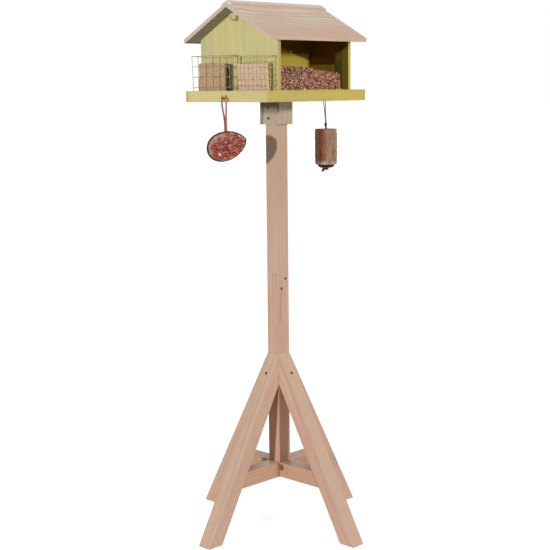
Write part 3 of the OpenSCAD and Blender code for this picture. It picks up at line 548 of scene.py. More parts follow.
def paint_fittings():
    groups = {
        "leg_screws splice_screws crossing_screws collar_screws floor_screws gable_screws":
            metal("screw_steel", (84, 66, 42), (44, 32, 18), 0.4, 500),
        "beam_nails rail_nails roof_nails": metal("nail_steel", (150, 142, 124), (92, 74, 56), 0.4, 600),
        "left_gable_hook right_gable_hook": metal("hook_brass", (206, 186, 118), (122, 98, 58), 0.28, 260),
        "left_rail_hook right_rail_hook": metal("rail_hook_brass", (168, 124, 58), (84, 60, 30), 0.34, 260),
        "bay_hook": metal("small_hook_brass", (250, 222, 140), (216, 180, 96), 0.25, 260),
        "cage_staples": wire_material("staple_wire", (190, 178, 108), (120, 108, 60)),
        "front_panel back_panel": clear_panel()}
    for names, material in groups.items():
        for name in names.split():
            paint(name, material)


# Mesh building. Shapes are (points, faces).

def add_mesh(name, points, faces, materials, body, replaced=(), face_material=None):
    """A mesh piece in millimetres that rides on a body."""
    mesh = bpy.data.meshes.new(name)
    mesh.from_pydata((np.asarray(points, float) * MM).tolist(), [], [list(map(int, f)) for f in faces])
    for material in materials:
        mesh.materials.append(material)
    if face_material is not None:
        mesh.polygons.foreach_set("material_index", np.asarray(face_material, np.int32))
    mesh.polygons.foreach_set("use_smooth", np.full(len(mesh.polygons), True))
    mesh.update()
    piece = bpy.data.objects.new(name, mesh)
    scene.collection.objects.link(piece)
    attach(piece, body)
    if replaced:
        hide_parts(*replaced)
    return piece


def unit(v):
    return v / np.maximum(np.linalg.norm(v, axis=-1, keepdims=True), 1e-12)


def placed(points, place):
    return (np.array(place.to_3x3()) @ np.asarray(points).T).T + np.array(place.translation)


def smooth_path(points, step):
    """A Catmull-Rom curve through the points, with a point about every step millimetres."""
    p = np.asarray(points, float)
    ends = np.vstack([2 * p[0] - p[1], p, 2 * p[-1] - p[-2]])
    out = []
    for a, b, c, d in zip(ends[:-3], ends[1:-2], ends[2:-1], ends[3:]):
        count = max(2, int(round(np.linalg.norm(c - b) / step)))
        for t in np.arange(count) / count:
            out.append(0.5 * (2 * b + (c - a) * t + (2 * a - 5 * b + 4 * c - d) * t * t
                              + (3 * b - a - 3 * c + d) * t ** 3))
    out.append(p[-1])
    return np.array(out)


def along_frames(path):
    """Two normals that don't twist, for each point of a path."""
    tangent = unit(np.gradient(path, axis=0))
    side = [unit(np.cross(tangent[0], [0.31, 0.93, 0.17]))]
    for t in tangent[1:]:
        side.append(unit(side[-1] - t * np.dot(side[-1], t)))
    side = np.array(side)
    return side, np.cross(tangent, side)


def grid_faces(rows, columns, flip=False):
    faces = []
    for i in range(rows):
        for k in range(columns):
            a, b = i * (columns + 1) + k, (i + 1) * (columns + 1) + k
            faces.append((a, a + 1, b + 1, b) if flip else (a, b, b + 1, a + 1))
    return faces


def ring_faces(rings, sides, first=0):
    """Faces between rings of points, from the point first."""
    faces = []
    for low in range(first, first + (rings - 1) * sides, sides):
        high = low + sides
        faces += [(low + k, low + (k + 1) % sides, high + (k + 1) % sides, high + k) for k in range(sides)]
    return faces


def capped(rings, sides):
    """Faces of a closed tube of rings."""
    last = (rings - 1) * sides
    return ring_faces(rings, sides) + [tuple(range(sides))[::-1], tuple(range(last, last + sides))]


def tube(path, radius, sides=8, scales=1.0):
    path = np.asarray(path, float)
    a, b = along_frames(path)
    angles = np.arange(sides) * 2 * np.pi / sides
    size = radius * scales * np.ones(len(path))
    ring = np.cos(angles)[None, :, None] * a[:, None] + np.sin(angles)[None, :, None] * b[:, None]
    points = (path[:, None] + ring * size[:, None, None]).reshape(-1, 3)
    return points, capped(len(path), sides)


def join(parts):
    """Several shapes as one."""
    points, faces, start = [], [], 0
    for p, f in parts:
        points.append(np.asarray(p))
        faces.extend([tuple(int(i) + start for i in face) for face in f])
        start += len(p)
    return np.vstack(points), faces


def strands(path, diameter, lay_length, swell=0.0):
    """A laid cord: three strands that wind round the path, as thick together as diameter. It gets thicker
    towards both ends by swell."""
    count = 3
    thick = 0.275 * diameter
    off = diameter / 2 - thick
    a, b = along_frames(path)
    run = np.concatenate([[0], np.cumsum(np.linalg.norm(np.diff(path, axis=0), axis=1))])
    size = 1 + swell * np.abs(2 * run / run[-1] - 1) ** 2
    made = []
    for k in range(count):
        angle = 2 * np.pi * (k / count + run / lay_length)
        line = path + (off * size)[:, None] * (np.cos(angle)[:, None] * a + np.sin(angle)[:, None] * b)
        made.append(tube(line, thick, 6, size))
    return join(made)


def wave(points, scale, seed):
    """A smooth made-up field over points, about -1 to 1, from a few waves of random direction."""
    local = np.random.default_rng(seed)
    total = np.zeros(len(points))
    for _ in range(9):
        direction = local.normal(size=3)
        direction *= (0.6 + 0.9 * local.random()) / np.linalg.norm(direction) / scale
        total += np.sin(points @ direction * 2 * np.pi + local.random() * 6.28)
    return total / 3.2


def arc(centre_x, centre_y, radius, angles):
    """Points round a centre, from below it for an angle of 0."""
    return [(centre_x + radius * math.sin(t), centre_y - radius * math.cos(t)) for t in angles]


def lathe(profile, around):
    """A profile of (radius, height) turned round Z."""
    angles = 2 * math.pi * np.arange(around) / around
    radius, height = np.asarray(profile, float).T
    points = np.stack([radius * np.cos(angles)[:, None], radius * np.sin(angles)[:, None],
                       np.broadcast_to(height, (around, len(height)))], -1).reshape(-1, 3)
    n = len(radius)
    faces = [(k * n + i, (k + 1) % around * n + i, (k + 1) % around * n + i + 1, k * n + i + 1)
             for k in range(around) for i in range(n - 1)]
    return points, faces


def ball(sides, rings, shape, tip=0.0):
    """A small rounded body, longer at one end where tip isn't 0."""
    points = [(0, 0, -1)]
    for i in range(1, rings):
        t = math.pi * i / rings
        for k in range(sides):
            a = 2 * math.pi * k / sides
            points.append((math.sin(t) * math.cos(a), math.sin(t) * math.sin(a), -math.cos(t)))
    points.append((0, 0, 1))
    p = np.array(points)
    p[:, :2] *= (1 - tip * p[:, 2:3])
    last = 1 + (rings - 2) * sides
    faces = [(0, 1 + (k + 1) % sides, 1 + k) for k in range(sides)] + ring_faces(rings - 1, sides, 1)
    faces += [(last + k, last + (k + 1) % sides, len(p) - 1) for k in range(sides)]
    return p * np.array(shape), faces


def basis(axis, normal):
    """Rotations that bring Z to each axis and X square to it and to the normal."""
    other = unit(np.cross(normal, axis))
    return np.stack([other, np.cross(axis, other), axis], -1)


def lying(normal, spread):
    """Random directions near the plane of each normal."""
    axis = unit(rng.normal(size=normal.shape))
    return unit(axis - normal * np.sum(axis * normal, 1, keepdims=True) * (1 - spread))


def turns(count, flat_normal, spread):
    """Random rotations with the long Z axis near the plane of one normal."""
    normal = np.broadcast_to(np.asarray(flat_normal, float), (count, 3))
    return basis(lying(normal, spread), normal)


def pressed(normal):
    """Random rotations with the thin X axis near each normal."""
    axis = lying(normal, 0.1)
    return basis(axis, np.cross(normal, axis))


def scatter(template, places, rotations, sizes):
    """The template body at each place, as one shape."""
    p, f = template
    made = np.einsum("nij,kj->nki", rotations, p) * np.asarray(sizes).reshape(-1, 1, 1) + places[:, None]
    faces = [tuple(int(i) + n * len(p) for i in face) for n in range(len(places)) for face in f]
    return made.reshape(-1, 3), faces


def kinds_of(*shapes):
    """The number of its shape for each face of the joined shapes."""
    return np.repeat(np.arange(len(shapes)), [len(faces) for _, faces in shapes])


# Cords. Each half route repeats the one in part.scad, from the object up to the top of the hook wire.

COCONUT_HALF = [(5.5, 2.3, -83), (5.2, 2.3, -72), (4.6, 2.4, -61), (3.7, 3.0, -50), (2.7, 4.3, -39),
                (1.7, 5.9, -28), (0.8, 7.2, -17), (0.2, 7.9, -8), (0, 7.2, -1), (0, 4.4, 3)]
COCONUT_OVER = (0, 0, 4.2)
ROLL_HALF = [(5.2, 1.5, -70), (4.4, 1.5, -60), (3.6, 1.5, -50), (2.8, 1.6, -41), (2.1, 2.1, -33),
             (1.4, 2.8, -25), (0.8, 3.4, -17), (0.3, 3.6, -9), (0, 3.4, -3), (0, 2.4, 1.6)]
ROLL_OVER = (0, 0, 3.4)


def hang_cord(name, half, over, hook, diameter, lay_length, swell, material, body, node_name):
    route = half + [over] + [(x, -y, z) for x, y, z in reversed(half)]
    path = smooth_path(route, 1.2) + np.array(hook, float)
    points, faces = strands(path, 1.1 * diameter, lay_length, swell)
    piece = add_mesh(name, points, faces, [material], body, (node_name,))


def cords():
    hang_cord("coconut_rope", COCONUT_HALF, COCONUT_OVER, (-HOOK_X, 0, HOOK_Z), 4.2, 11, 0.35,
              cord_material("orange_cord", (208, 136, 102), (166, 78, 54), (100, 42, 32)),
              "coconut_hanger", "coconut_cord")
    hang_cord("roll_rope", ROLL_HALF, ROLL_OVER, (HOOK_X, 0, HOOK_Z), 2.8, 8, 0.0,
              cord_material("white_cord", (228, 216, 212), (194, 174, 166), (136, 98, 88)),
              "roll_hanger", "roll_cord")


# Wire cages

WIRE = 1.5


def wire_cage(name, material, reach, y_low, y_high, columns, low_ends, high_ends, rows, height, inside, bend):
    """Round wires: each row bent round the two corners, and a column at each of columns, inside or outside
    the rows. low_ends and high_ends are the X of the ones in the two ends. bend is how far the outer
    corner's top leans."""
    thin = WIRE / 2 * (1 if inside else 0.75)
    corner = 3.5
    x_face = -GABLE_X - reach
    x_back = -GABLE_X - WIRE / 2
    x_round, low_round, high_round = x_face + corner, y_low + corner, y_high - corner
    leaning = 40
    route = [(x_back, y_low), (x_round, y_low)]
    route += arc(x_round, low_round, corner, -np.linspace(0.2, QUARTER, 5))
    route += [(x_face, y) for y in np.linspace(low_round + 2, high_round - 2, 14)]
    route += arc(x_round, high_round, corner, -QUARTER - np.linspace(0, QUARTER - 0.2, 5))
    x, y = np.array(route + [(x_round, y_high), (x_back, y_high)]).T
    rise = np.linspace(0.2, height, 9)
    parts = []

    def lean(y, rise):
        return bend * (rise / height * np.maximum(0.0, (y - (y_high - leaning)) / leaning)) ** 1.5

    def upright(x, y, aside, radius):
        line = [np.full(9, x), y + aside + lean(y, rise), FLOOR_TOP + rise]
        parts.append(tube(np.stack(line, -1), radius))

    for row in rows:
        line = np.stack([x, y + lean(y, row), np.full(len(x), FLOOR_TOP + row)], -1)
        line[1:-1, 2] += 0.35 * np.sin(line[1:-1, 1] * 0.11 + row)
        parts.append(tube(line, thin))
    shift = 0.95 * WIRE * (1 if inside else -1)
    for k, at in enumerate(columns):
        sway = 0.25 * np.sin(rise * 0.09 + k)
        if at in (y_low, y_high):
            upright(x_face + shift * 0.4 + 1.0, at, sway + (1.0 if at == y_low else -1.0), thin)
        else:
            upright(x_face + shift, at, sway, thin)
    for at, inward, ends in ((y_low, 0.95 * WIRE, low_ends), (y_high, -0.95 * WIRE, high_ends)):
        for side_x in ends:
            upright(side_x, at, inward, WIRE / 2)
    points, faces = join(parts)
    add_mesh(name, points, faces, [material], "feeder",
             (f"{name}_face", f"{name}_outer_end", f"{name}_inner_end"))


def cages():
    coarse_wire = wire_material("coarse_wire", (164, 154, 108), (100, 90, 52))
    wire_cage("coarse_cage", coarse_wire, COARSE_REACH, -2, 137, [137, 115.5, 87, 61.5, 36.5, 13.5, -2],
              [-158.5], [], [106.85, 80.45, 54.05, 27.65], 107.5, True, 4.0)
    fine_wire = wire_material("fine_wire", (190, 178, 92), (140, 128, 62))
    fine_ends = [-146, -134.65]
    wire_cage("fine_cage", fine_wire, FINE_REACH, -136, -9, [-136, *np.arange(-129.5, -12.55, 14.2), -9],
              fine_ends, fine_ends, np.arange(103.85, 1.3, -14.5), 104.5, False, 0.0)


# Suet blocks

def box_grid(size, step, edge):
    """A box round the origin, in a grid of about step, with edges rounded by edge."""
    size = np.array(size)
    bm = bmesh.new()
    bmesh.ops.create_cube(bm, size=1.0)
    bmesh.ops.subdivide_edges(bm, edges=bm.edges[:], cuts=max(3, int(max(size) / step)), use_grid_fill=True)
    points = np.array([v.co for v in bm.verts]) * size
    faces = [tuple(v.index for v in f.verts) for f in bm.faces]
    bm.free()
    core = np.clip(points, edge - size / 2, size / 2 - edge)
    away = points - core
    length = np.linalg.norm(away, axis=1, keepdims=True)
    return core + np.where(length > 1e-6, away / np.maximum(length, 1e-6) * edge, 0), faces


def suet_block(tint, size, place, material, crumbs, seed_number):
    """A pressed block with a crumbly skin and bits of seed that stand a little out of it."""
    inset = 0.7
    size = np.array(size)
    points, faces = box_grid(size - 2 * inset, 3.2, 3.0)
    push = 0.45 * wave(points, 26, seed_number) + 0.35 * wave(points, 9, seed_number + 1)
    outward = unit(points / (size / 2) ** 3 * np.abs(points) ** 2)
    block = (points + outward * np.clip(push, -1.6, 0.5)[:, None], faces)
    count = 260
    broad = rng.random(count) < 0.93
    spot = (rng.random((count, 3)) - 0.5) * (size - 5)
    spot[broad, 0] = np.where(rng.random(broad.sum()) < 0.6, -1, 1) * (size[0] / 2 - 1.1)
    spot[~broad, 1] = np.where(rng.random((~broad).sum()) < 0.5, -1, 1) * (size[1] / 2 - 1.3)
    spin = pressed(np.where(broad[:, None], np.array([RIGHT], float), np.array([BACK], float)))
    bits = scatter(ball(7, 4, (1.6, 1.1, 2.3), 0.2), spot, spin, 0.55 + 0.35 * rng.random(count))
    points, faces = join([block, bits])
    limit = size / 2 - 0.05
    points = placed(np.clip(points, -limit, limit), place)
    add_mesh(f"{tint}_block_suet", points, faces, [material, crumbs], f"{tint}_block",
             (f"{tint}_suet_block",), kinds_of(block, bits))


def suet_blocks():
    crumbs = seed_skin("block_seed", (0.0, (150, 108, 84)), (0.3, (186, 150, 120)), (0.6, (212, 186, 154)),
                       (0.9, (196, 150, 116)))
    # The last colour of each suet is the painted shade of its ends.
    red = suet_material("red_suet", (198, 170, 138), (184, 150, 120), (166, 124, 100), (148, 96, 78),
                        (58, 52, 44))
    pink = suet_material("pink_suet", (224, 198, 178), (212, 182, 162), (198, 164, 146), (176, 134, 112),
                         (98, 76, 40))
    half_wire, gap, lift = 0.65, 2, 0.3
    thick, _, high = RED_BLOCK
    middle = (half_wire + gap + thick / 2 - GABLE_X - COARSE_REACH, 69, FLOOR_TOP + lift + high / 2)
    suet_block("red", RED_BLOCK, Matrix.Translation(middle), red, crumbs, 3)
    thick, _, high = PINK_BLOCK
    foot = (half_wire + lift + high * math.sin(PINK_LEAN) - GABLE_X - FINE_REACH, -70.5, FLOOR_TOP + lift)
    place = (Matrix.Translation(foot) @ Matrix.Rotation(-PINK_LEAN, 4, "Y")
             @ Matrix.Translation((thick / 2, 0, high / 2)))
    suet_block("pink", PINK_BLOCK, place, pink, crumbs, 8)


# Seed in the bays

SEED_LOW, SEED_HIGH = 61, 80
SEED_FALL = [(0, 1), (0.12, 0.95), (0.4, 0.78), (0.55, 0.66), (0.73, 0.33), (1, 0)]
SEED_HALF = BAY_HALF - 0.4
SEED_INSET = 2.2
HEAP_BACK, HEAP_FRONT = 5.4, 115.6
RUN_BACK, RUN_FRONT = 115.7, 142.9
RUN_TOP = FLOOR_TOP + 21.7
# The low_ colours are for seeds below the clear panel, redder and paler; the duller colours above stand in
# for the panel's haze, a painted reflection.
SEED_COLOURS = {
    "seed_long": ((0.0, (76, 48, 38)), (0.2, (140, 68, 46)), (0.45, (190, 118, 86)), (0.7, (212, 164, 132)),
                  (0.95, (240, 216, 190))),
    "seed_kernel": ((0.0, (138, 56, 38)), (0.35, (188, 104, 74)), (0.65, (208, 152, 120)),
                    (0.95, (236, 202, 172))),
    "seed_round": ((0.0, (126, 44, 30)), (0.45, (190, 92, 62)), (0.8, (222, 176, 140)),
                   (0.97, (244, 228, 206))),
    "low_seed_long": ((0.0, (96, 32, 28)), (0.3, (172, 74, 46)), (0.6, (212, 130, 84)),
                      (0.9, (250, 236, 212))),
    "low_seed_kernel": ((0.0, (122, 38, 30)), (0.35, (190, 82, 52)), (0.65, (214, 140, 96)),
                        (0.9, (250, 234, 206))),
    "low_seed_round": ((0.0, (112, 28, 26)), (0.4, (176, 56, 40)), (0.75, (220, 140, 90)),
                       (0.95, (252, 242, 226)))}


def seed_top(x):
    """Height of the heap's top at x."""
    share = (np.asarray(x, float) + BAY_HALF) / (2 * BAY_HALF)
    return FLOOR_TOP + SEED_LOW + (SEED_HIGH - SEED_LOW) * np.interp(share, *zip(*SEED_FALL))


def run_top(u):
    """Height of the run-out's top, with u from 0 at the panel to 1 at the rail."""
    return RUN_TOP - 7 * u ** 1.3


def bay(side, heap_skin, skins):
    """The heap behind a clear panel and the run-out beyond it. side is -1 in front and 1 at the back."""
    label = "front" if side < 0 else "back"

    def seed_piece(part, points, faces, skins, nodes, kinds=None):
        add_mesh(f"{label}_{part}", points * np.array([1, side, 1]), faces, skins, "feeder",
                 nodes, kinds)

    xs = np.linspace(-SEED_HALF, SEED_HALF, 61)
    ys = np.linspace(HEAP_BACK, HEAP_FRONT - SEED_INSET, 25)
    grid = np.array([(x, y, seed_top(x) - SEED_INSET) for x in xs for y in ys])
    grid[:, 2] += 0.9 * wave(grid, 34, 21 + side)
    foot = grid.copy()
    foot[:, 2] = FLOOR_TOP + 0.2
    n = len(grid)
    index = np.arange(n).reshape(61, 25)
    rim = [*index[:, 0], *index[-1, 1:], *index[-2::-1, -1], *index[0, -2:0:-1]]
    wall = [(a, n + a, n + b, b) for a, b in zip(rim, rim[1:] + rim[:1])]
    seed_piece("heap", np.vstack([grid, foot]), grid_faces(60, 24) + wall, [heap_skin], (f"{label}_seed",))
    run = np.array([(x, RUN_BACK + (RUN_FRONT - RUN_BACK) * u, run_top(u) - SEED_INSET)
                    for x in xs for u in np.linspace(0, 1, 9)])
    run[:, 2] += 0.5 * wave(run, 22, 31 + side)
    seed_piece("run_out", run, grid_faces(60, 8), [heap_skin], (f"{label}_spill",))

    def anywhere(count):
        return (rng.random(count) * 2 - 1) * (SEED_HALF - 3)

    shapes = [(ball(7, 4, (1.6, 1.35, 3.1), 0.25), 1500), (ball(7, 4, (1.9, 1.5, 2.5)), 1500),
              (ball(6, 4, (1.3, 1.3, 1.35)), 1100)]
    parts, kinds = [], []
    for kind, (template, count) in enumerate(shapes):
        face_n, top_n, run_n = int(count * 0.46), int(count * 0.30), int(count * 0.24)
        size = 0.85 + 0.3 * rng.random(face_n + top_n + run_n)
        x = anywhere(face_n)
        z = FLOOR_TOP + 2 + rng.random(face_n) * (seed_top(x) - FLOOR_TOP - 3.5)
        at_face = np.stack([x, HEAP_FRONT - 1.7 - 1.6 * rng.random(face_n), z], -1)
        spins = [turns(face_n, BACK, 0.12)]
        x = anywhere(top_n)
        y = HEAP_BACK + 3 + rng.random(top_n) * (HEAP_FRONT - HEAP_BACK - 7)
        on_top = np.stack([x, y, seed_top(x) - 1.2 + 1.4 * rng.random(top_n)], -1)
        on_top[:, 2] += 0.9 * wave(on_top, 34, 21 + side)
        spins.append(turns(top_n, UP, 0.3))
        x = anywhere(run_n)
        u = rng.random(run_n)
        y = RUN_BACK + 2 + (RUN_FRONT - RUN_BACK - 5) * u
        on_run = np.stack([x, y, run_top(u) - 1.8 + 1.2 * rng.random(run_n)], -1)
        spins.append(turns(run_n, UP, 0.15))
        places = np.vstack([at_face, on_top, on_run])
        points, faces = scatter(template, places, np.concatenate(spins), size)
        behind = np.repeat(places[:, 1] < HEAP_FRONT, len(template[0]))
        points[:, 1] = np.minimum(points[:, 1], np.where(behind, HEAP_FRONT, RUN_FRONT))
        parts.append((points, faces))
        low = places[:, 2] < RUN_TOP
        kinds += np.repeat(kind + len(shapes) * low, len(template[1])).tolist()
    points, faces = join(parts)
    points[:, 2] = np.maximum(points[:, 2], FLOOR_TOP + 0.2)
    seed_piece("seed_grains", points, faces, skins, (), kinds)


def seeds():
    skins = [seed_skin(name, *stops) for name, stops in SEED_COLOURS.items()]
    heap_skin = heap_material()
    for side in (-1, 1):
        bay(side, heap_skin, skins)


# Coconut half. Its own frame has X along the nut and Y into the shell.

SHELL_OUT = (52, 38)
SHELL_IN = (49, 35)
BOWL = (48.7, 34.7)
FAT_TOP = 2.0
EGG_SKEW = -0.15
EGG_LOW = 0.93
RIM_SHIFT = np.array([0.9, 0, -0.5])
ALONG, AROUND, CROSS = 48, 32, 16
BORE_R = 5.2
COCONUT_PLACE = (Matrix.Translation((-HOOK_X + 8.6, 0, HOOK_Z - 117))
                 @ Matrix.Rotation(math.radians(-45), 4, "Z") @ Matrix.Translation((0, -15.66, 0))
                 @ Matrix.Rotation(math.radians(-18.7), 4, "Y"))


def egg_half(half_axes, y_start=0.0):
    """Points of half an egg, Y from y_start up, as a grid along its long X axis."""
    length, width = half_axes
    grid = []
    for i in range(ALONG + 1):
        s = -math.cos(math.pi * i / ALONG)
        radius = width * max(0.0, 1 - s * s) ** (0.5 + 0.11 * max(0.0, s)) * (1 + EGG_SKEW * s)
        lift = math.asin(min(1.0, y_start / radius)) if radius > 1e-6 else math.pi / 2
        for k in range(AROUND + 1):
            t = lift + (math.pi - 2 * lift) * k / AROUND
            z = radius * math.cos(t)
            y = max(y_start, radius * math.sin(t)) if radius > y_start else y_start
            grid.append((s * length, y, z if z > 0 else EGG_LOW * z))
    return np.array(grid)


def clean(mesh, joining):
    """Joins the points that meet and turns all faces outward."""
    bm = bmesh.new()
    bm.from_mesh(mesh)
    bmesh.ops.remove_doubles(bm, verts=bm.verts, dist=joining)
    bmesh.ops.dissolve_degenerate(bm, edges=bm.edges, dist=1e-6)
    bmesh.ops.recalc_face_normals(bm, faces=bm.faces)
    bm.to_mesh(mesh)
    bm.free()


def cut_bore(piece):
    """Takes the cord's bore out of a piece."""
    points, faces = lathe([(0, -5), (BORE_R, -5), (BORE_R, 40), (0, 40)], 40)
    bore_mesh = bpy.data.meshes.new("bore")
    bore_mesh.from_pydata((points * MM).tolist(), [], faces)
    clean(bore_mesh, 1e-6)
    cutter = bpy.data.objects.new("bore", bore_mesh)
    cutter.location = (np.array([-HOOK_X + 5.5, 0, HOOK_Z - 78.5]) * MM).tolist()
    scene.collection.objects.link(cutter)
    change = piece.modifiers.new("bore", "BOOLEAN")
    change.operation = "DIFFERENCE"
    change.object = cutter
    change.solver = "EXACT"
    bpy.context.view_layer.update()
    made = bpy.data.meshes.new_from_object(piece.evaluated_get(bpy.context.evaluated_depsgraph_get()))
    piece.modifiers.clear()
    piece.data = made
    bpy.data.objects.remove(cutter)


def coconut_piece(name, points, faces, material, node_name):
    piece = add_mesh(name, placed(points, COCONUT_PLACE), faces, [material], "coconut", (node_name,))
    clean(piece.data, 1e-5)
    cut_bore(piece)


def coconut():
    outer = egg_half(SHELL_OUT)
    inner = egg_half(SHELL_IN) + RIM_SHIFT
    rough = np.clip(0.35 * wave(outer, 7, 41) + 0.35 * wave(outer, 22, 42), -0.9, 0.0)
    length, width = SHELL_OUT
    outer = outer + unit(outer / np.array([length, width, width]) ** 2) * rough[:, None]
    n = len(outer)
    index = np.arange(n).reshape(ALONG + 1, AROUND + 1)
    low, high = index[:, 0], index[:, -1]
    rim = [(a, b, n + b, n + a) for a, b in zip(low, low[1:])]
    rim += [(b, a, n + a, n + b) for a, b in zip(high, high[1:])]
    edge = np.concatenate([low, high])
    lip = 0.6 * np.abs(0.8 * wave(outer, 12, 43))[edge]
    outer[edge, 1] += lip
    inner[edge, 1] += lip
    outside = grid_faces(ALONG, AROUND, True)
    points, faces = join([(outer, outside), (inner, grid_faces(ALONG, AROUND))])
    coconut_piece("coconut_husk", points, faces + rim, husk_material(), "coconut_shell")
    bowl = egg_half(BOWL, FAT_TOP)
    across = bowl.reshape(ALONG + 1, AROUND + 1, 3)
    t = np.linspace(0, 1, CROSS + 1)[None, :, None]
    sheet = (across[:, :1] * (1 - t) + across[:, -1:] * t).reshape(-1, 3)
    length, width = SHELL_IN
    inwards = np.clip(1 - (sheet[:, 0] / length) ** 2 - (sheet[:, 2] / width) ** 2, 0, 1)
    sheet[:, 1] += (0.7 * wave(sheet, 13, 51) + 0.4 * wave(sheet, 5, 52)) * np.minimum(1, 4 * inwards) - 0.3
    sheet[:, 1] = np.where(inwards < 0.02, FAT_TOP, np.maximum(sheet[:, 1], 0.6))
    points, faces = join([(bowl, outside), (sheet, grid_faces(ALONG, CROSS))])
    coconut_piece("coconut_filling", points + RIM_SHIFT, faces, fat_material(), "coconut_fat")
    coconut_nuts()


def coconut_nuts():
    """Nuts half sunk in the fat, thick over the right and lower part and few at the upper left."""
    spots = [(-15, -26.5), (-8.5, -27.3), (-11.8, 22.5), (-16.5, 16.6), (-19.5, 8.8), (-29.5, 14.2)]
    chip_x, chip_z = -24.5, -13.1
    speck_spots = [(-25, 24.5), (-22.7, 16.6), (-24.8, -2), (9, 27)]
    most, tries, nut_gap, chip_gap = 52, 9000, 6.9, 6.5
    local = np.random.default_rng(5)
    while len(spots) < most and tries:
        tries -= 1
        x, z = (local.random(2) * 2 - 1) * np.array([46, 32])
        if (x / 44.5) ** 2 + (z / ((30 if z > 0 else 28) * (1 + EGG_SKEW * x / SHELL_OUT[0]))) ** 2 > 1:
            continue
        plain = (x < -36 and z > -11) or (x < -4 and z > 14.5) or (abs(x + 2) < 4 and z > 4)
        if plain or (x - chip_x) ** 2 + (z - chip_z) ** 2 < chip_gap ** 2:
            continue
        if all((x - a) ** 2 + (z - b) ** 2 > nut_gap ** 2 for a, b in spots):
            spots.append((x, z))
    count = len(spots)
    angle = local.random(count) * math.pi
    tilt = (local.random(count) - 0.5) * 0.7
    axis = np.stack([np.cos(angle) * np.cos(tilt), np.sin(tilt), np.sin(angle) * np.cos(tilt)], -1)
    spin = basis(axis, np.array(BACK, float))
    shape, faces = ball(14, 9, (3.9, 3.6, 5.5), 0.12)
    shape[:, 1] += np.exp(-(shape[:, 0] / 0.9) ** 2) * (shape[:, 1] < 0) * 0.35
    centres = np.array([(x, 0.6 - 1.6 * local.random(), z) for x, z in spots])
    nuts = scatter((shape, faces), centres, spin, 0.82 + 0.26 * local.random(count))
    c, s = math.cos(math.radians(19)), math.sin(math.radians(19))
    upright = np.array([[[c, 0, -s], [0, 1, 0], [s, 0, c]]])
    chip = scatter(ball(9, 6, (2.1, 1.8, 6.2), 0.25), np.array([(chip_x, 0.2, chip_z)]), upright, np.ones(1))
    specks = scatter(ball(8, 5, (1.3, 1.1, 2.1), 0.2), np.array([(x, 0.9, z) for x, z in speck_spots]),
                     spin[:len(speck_spots)], np.ones(len(speck_spots)))
    pale_stops = ((0.3, (208, 200, 172)), (0.7, (236, 230, 212)))
    dark_stops = ((0.3, (34, 24, 26)), (0.7, (70, 48, 46)))
    skins = [nut_material(), plain_material("white_chip", (500, 3), pale_stops, 0.5, (0.3, 0.5)),
             plain_material("dark_speck", (600, 3), dark_stops, 0.6, (0.3, 0.5))]
    points, faces = join([nuts, chip, specks])
    add_mesh("coconut_peanuts", placed(points, COCONUT_PLACE), faces, skins, "coconut",
             ("coconut_nuts",), kinds_of(nuts, chip, specks))


# Suet roll

ROLL_R = 29.7
ROLL_MOST_R = 30.45
CORE_R = 3.0


def roll():
    crumbs = seed_skin("roll_seed", (0.0, (80, 48, 36)), (0.5, (112, 70, 52)), (0.95, (156, 120, 96)))
    lumps = seed_skin("roll_lump", (0.0, (150, 140, 132)), (0.5, (196, 188, 180)), (0.95, (226, 220, 214)))
    edge, shoulder = 6, 3
    profile = [(CORE_R, ROLL_LOW + 0.4), (12, ROLL_LOW + 0.4)]
    profile += arc(ROLL_R - edge, ROLL_LOW + edge + 0.3, edge, np.linspace(0, QUARTER, 7))
    profile += [(ROLL_R, z) for z in np.linspace(ROLL_LOW + edge + 3, ROLL_TOP - 5, 26)]
    profile += arc(ROLL_R - shoulder, ROLL_TOP - 3.4, shoulder, QUARTER + np.linspace(0.2, QUARTER, 5))
    profile += [(14, ROLL_TOP - 0.5), (CORE_R, ROLL_TOP - 0.5)]
    points, faces = lathe(profile, 72)
    radial = points * np.array([1, 1, 0])
    share = np.clip((np.linalg.norm(radial, axis=1) - CORE_R) / 8, 0, 1)
    push = 0.8 * wave(points * np.array([1, 1, 0.6]), 17, 61) + 0.5 * wave(points, 7, 62)
    body = (points + unit(radial) * (np.clip(push, -1.7, 0.7) * share)[:, None], faces)
    count = 180
    t = rng.random(count) * 2 * np.pi
    z = ROLL_LOW + 6 + rng.random(count) * (ROLL_H - 10)
    outward = np.stack([np.cos(t), np.sin(t), 0 * t], -1)
    spin = pressed(outward)
    spot = outward * (ROLL_R - 0.4) + z[:, None] * np.array(UP)
    bits = scatter(ball(7, 4, (1.1, 1.7, 2.6), 0.2), spot, spin, 0.55 + 0.4 * rng.random(count))
    count = 46
    t = np.arange(count) * 2 * np.pi / count + 0.1 * rng.random(count)
    z = ROLL_LOW + 2.9 + 1.6 * rng.random(count)
    spot = np.stack([np.cos(t) * (ROLL_R - 3.4), np.sin(t) * (ROLL_R - 3.4), z], -1)
    axis = unit(rng.normal(size=(count, 3)))
    spin = basis(axis, rng.normal(size=(count, 3)))
    pale = scatter(ball(8, 5, (2.3, 1.9, 2.5), 0.1), spot, spin, 0.75 + 0.4 * rng.random(count))
    points, faces = join([body, bits, pale])
    away = np.linalg.norm(points[:, :2], axis=1)
    points[:, :2] *= np.minimum(1, ROLL_MOST_R / np.maximum(away, 1e-6))[:, None]
    points[:, 2] = np.clip(points[:, 2], ROLL_LOW + 0.05, ROLL_TOP)
    points[:, 0] += ROLL_X
    add_mesh("roll_suet_body", points, faces, [roll_material(), crumbs, lumps], "roll",
             ("suet_roll",), kinds_of(body, bits, pale))


def string_piece(name, points, faces, material):
    add_mesh(name, points, faces, [material], "roll", ("roll_string",))


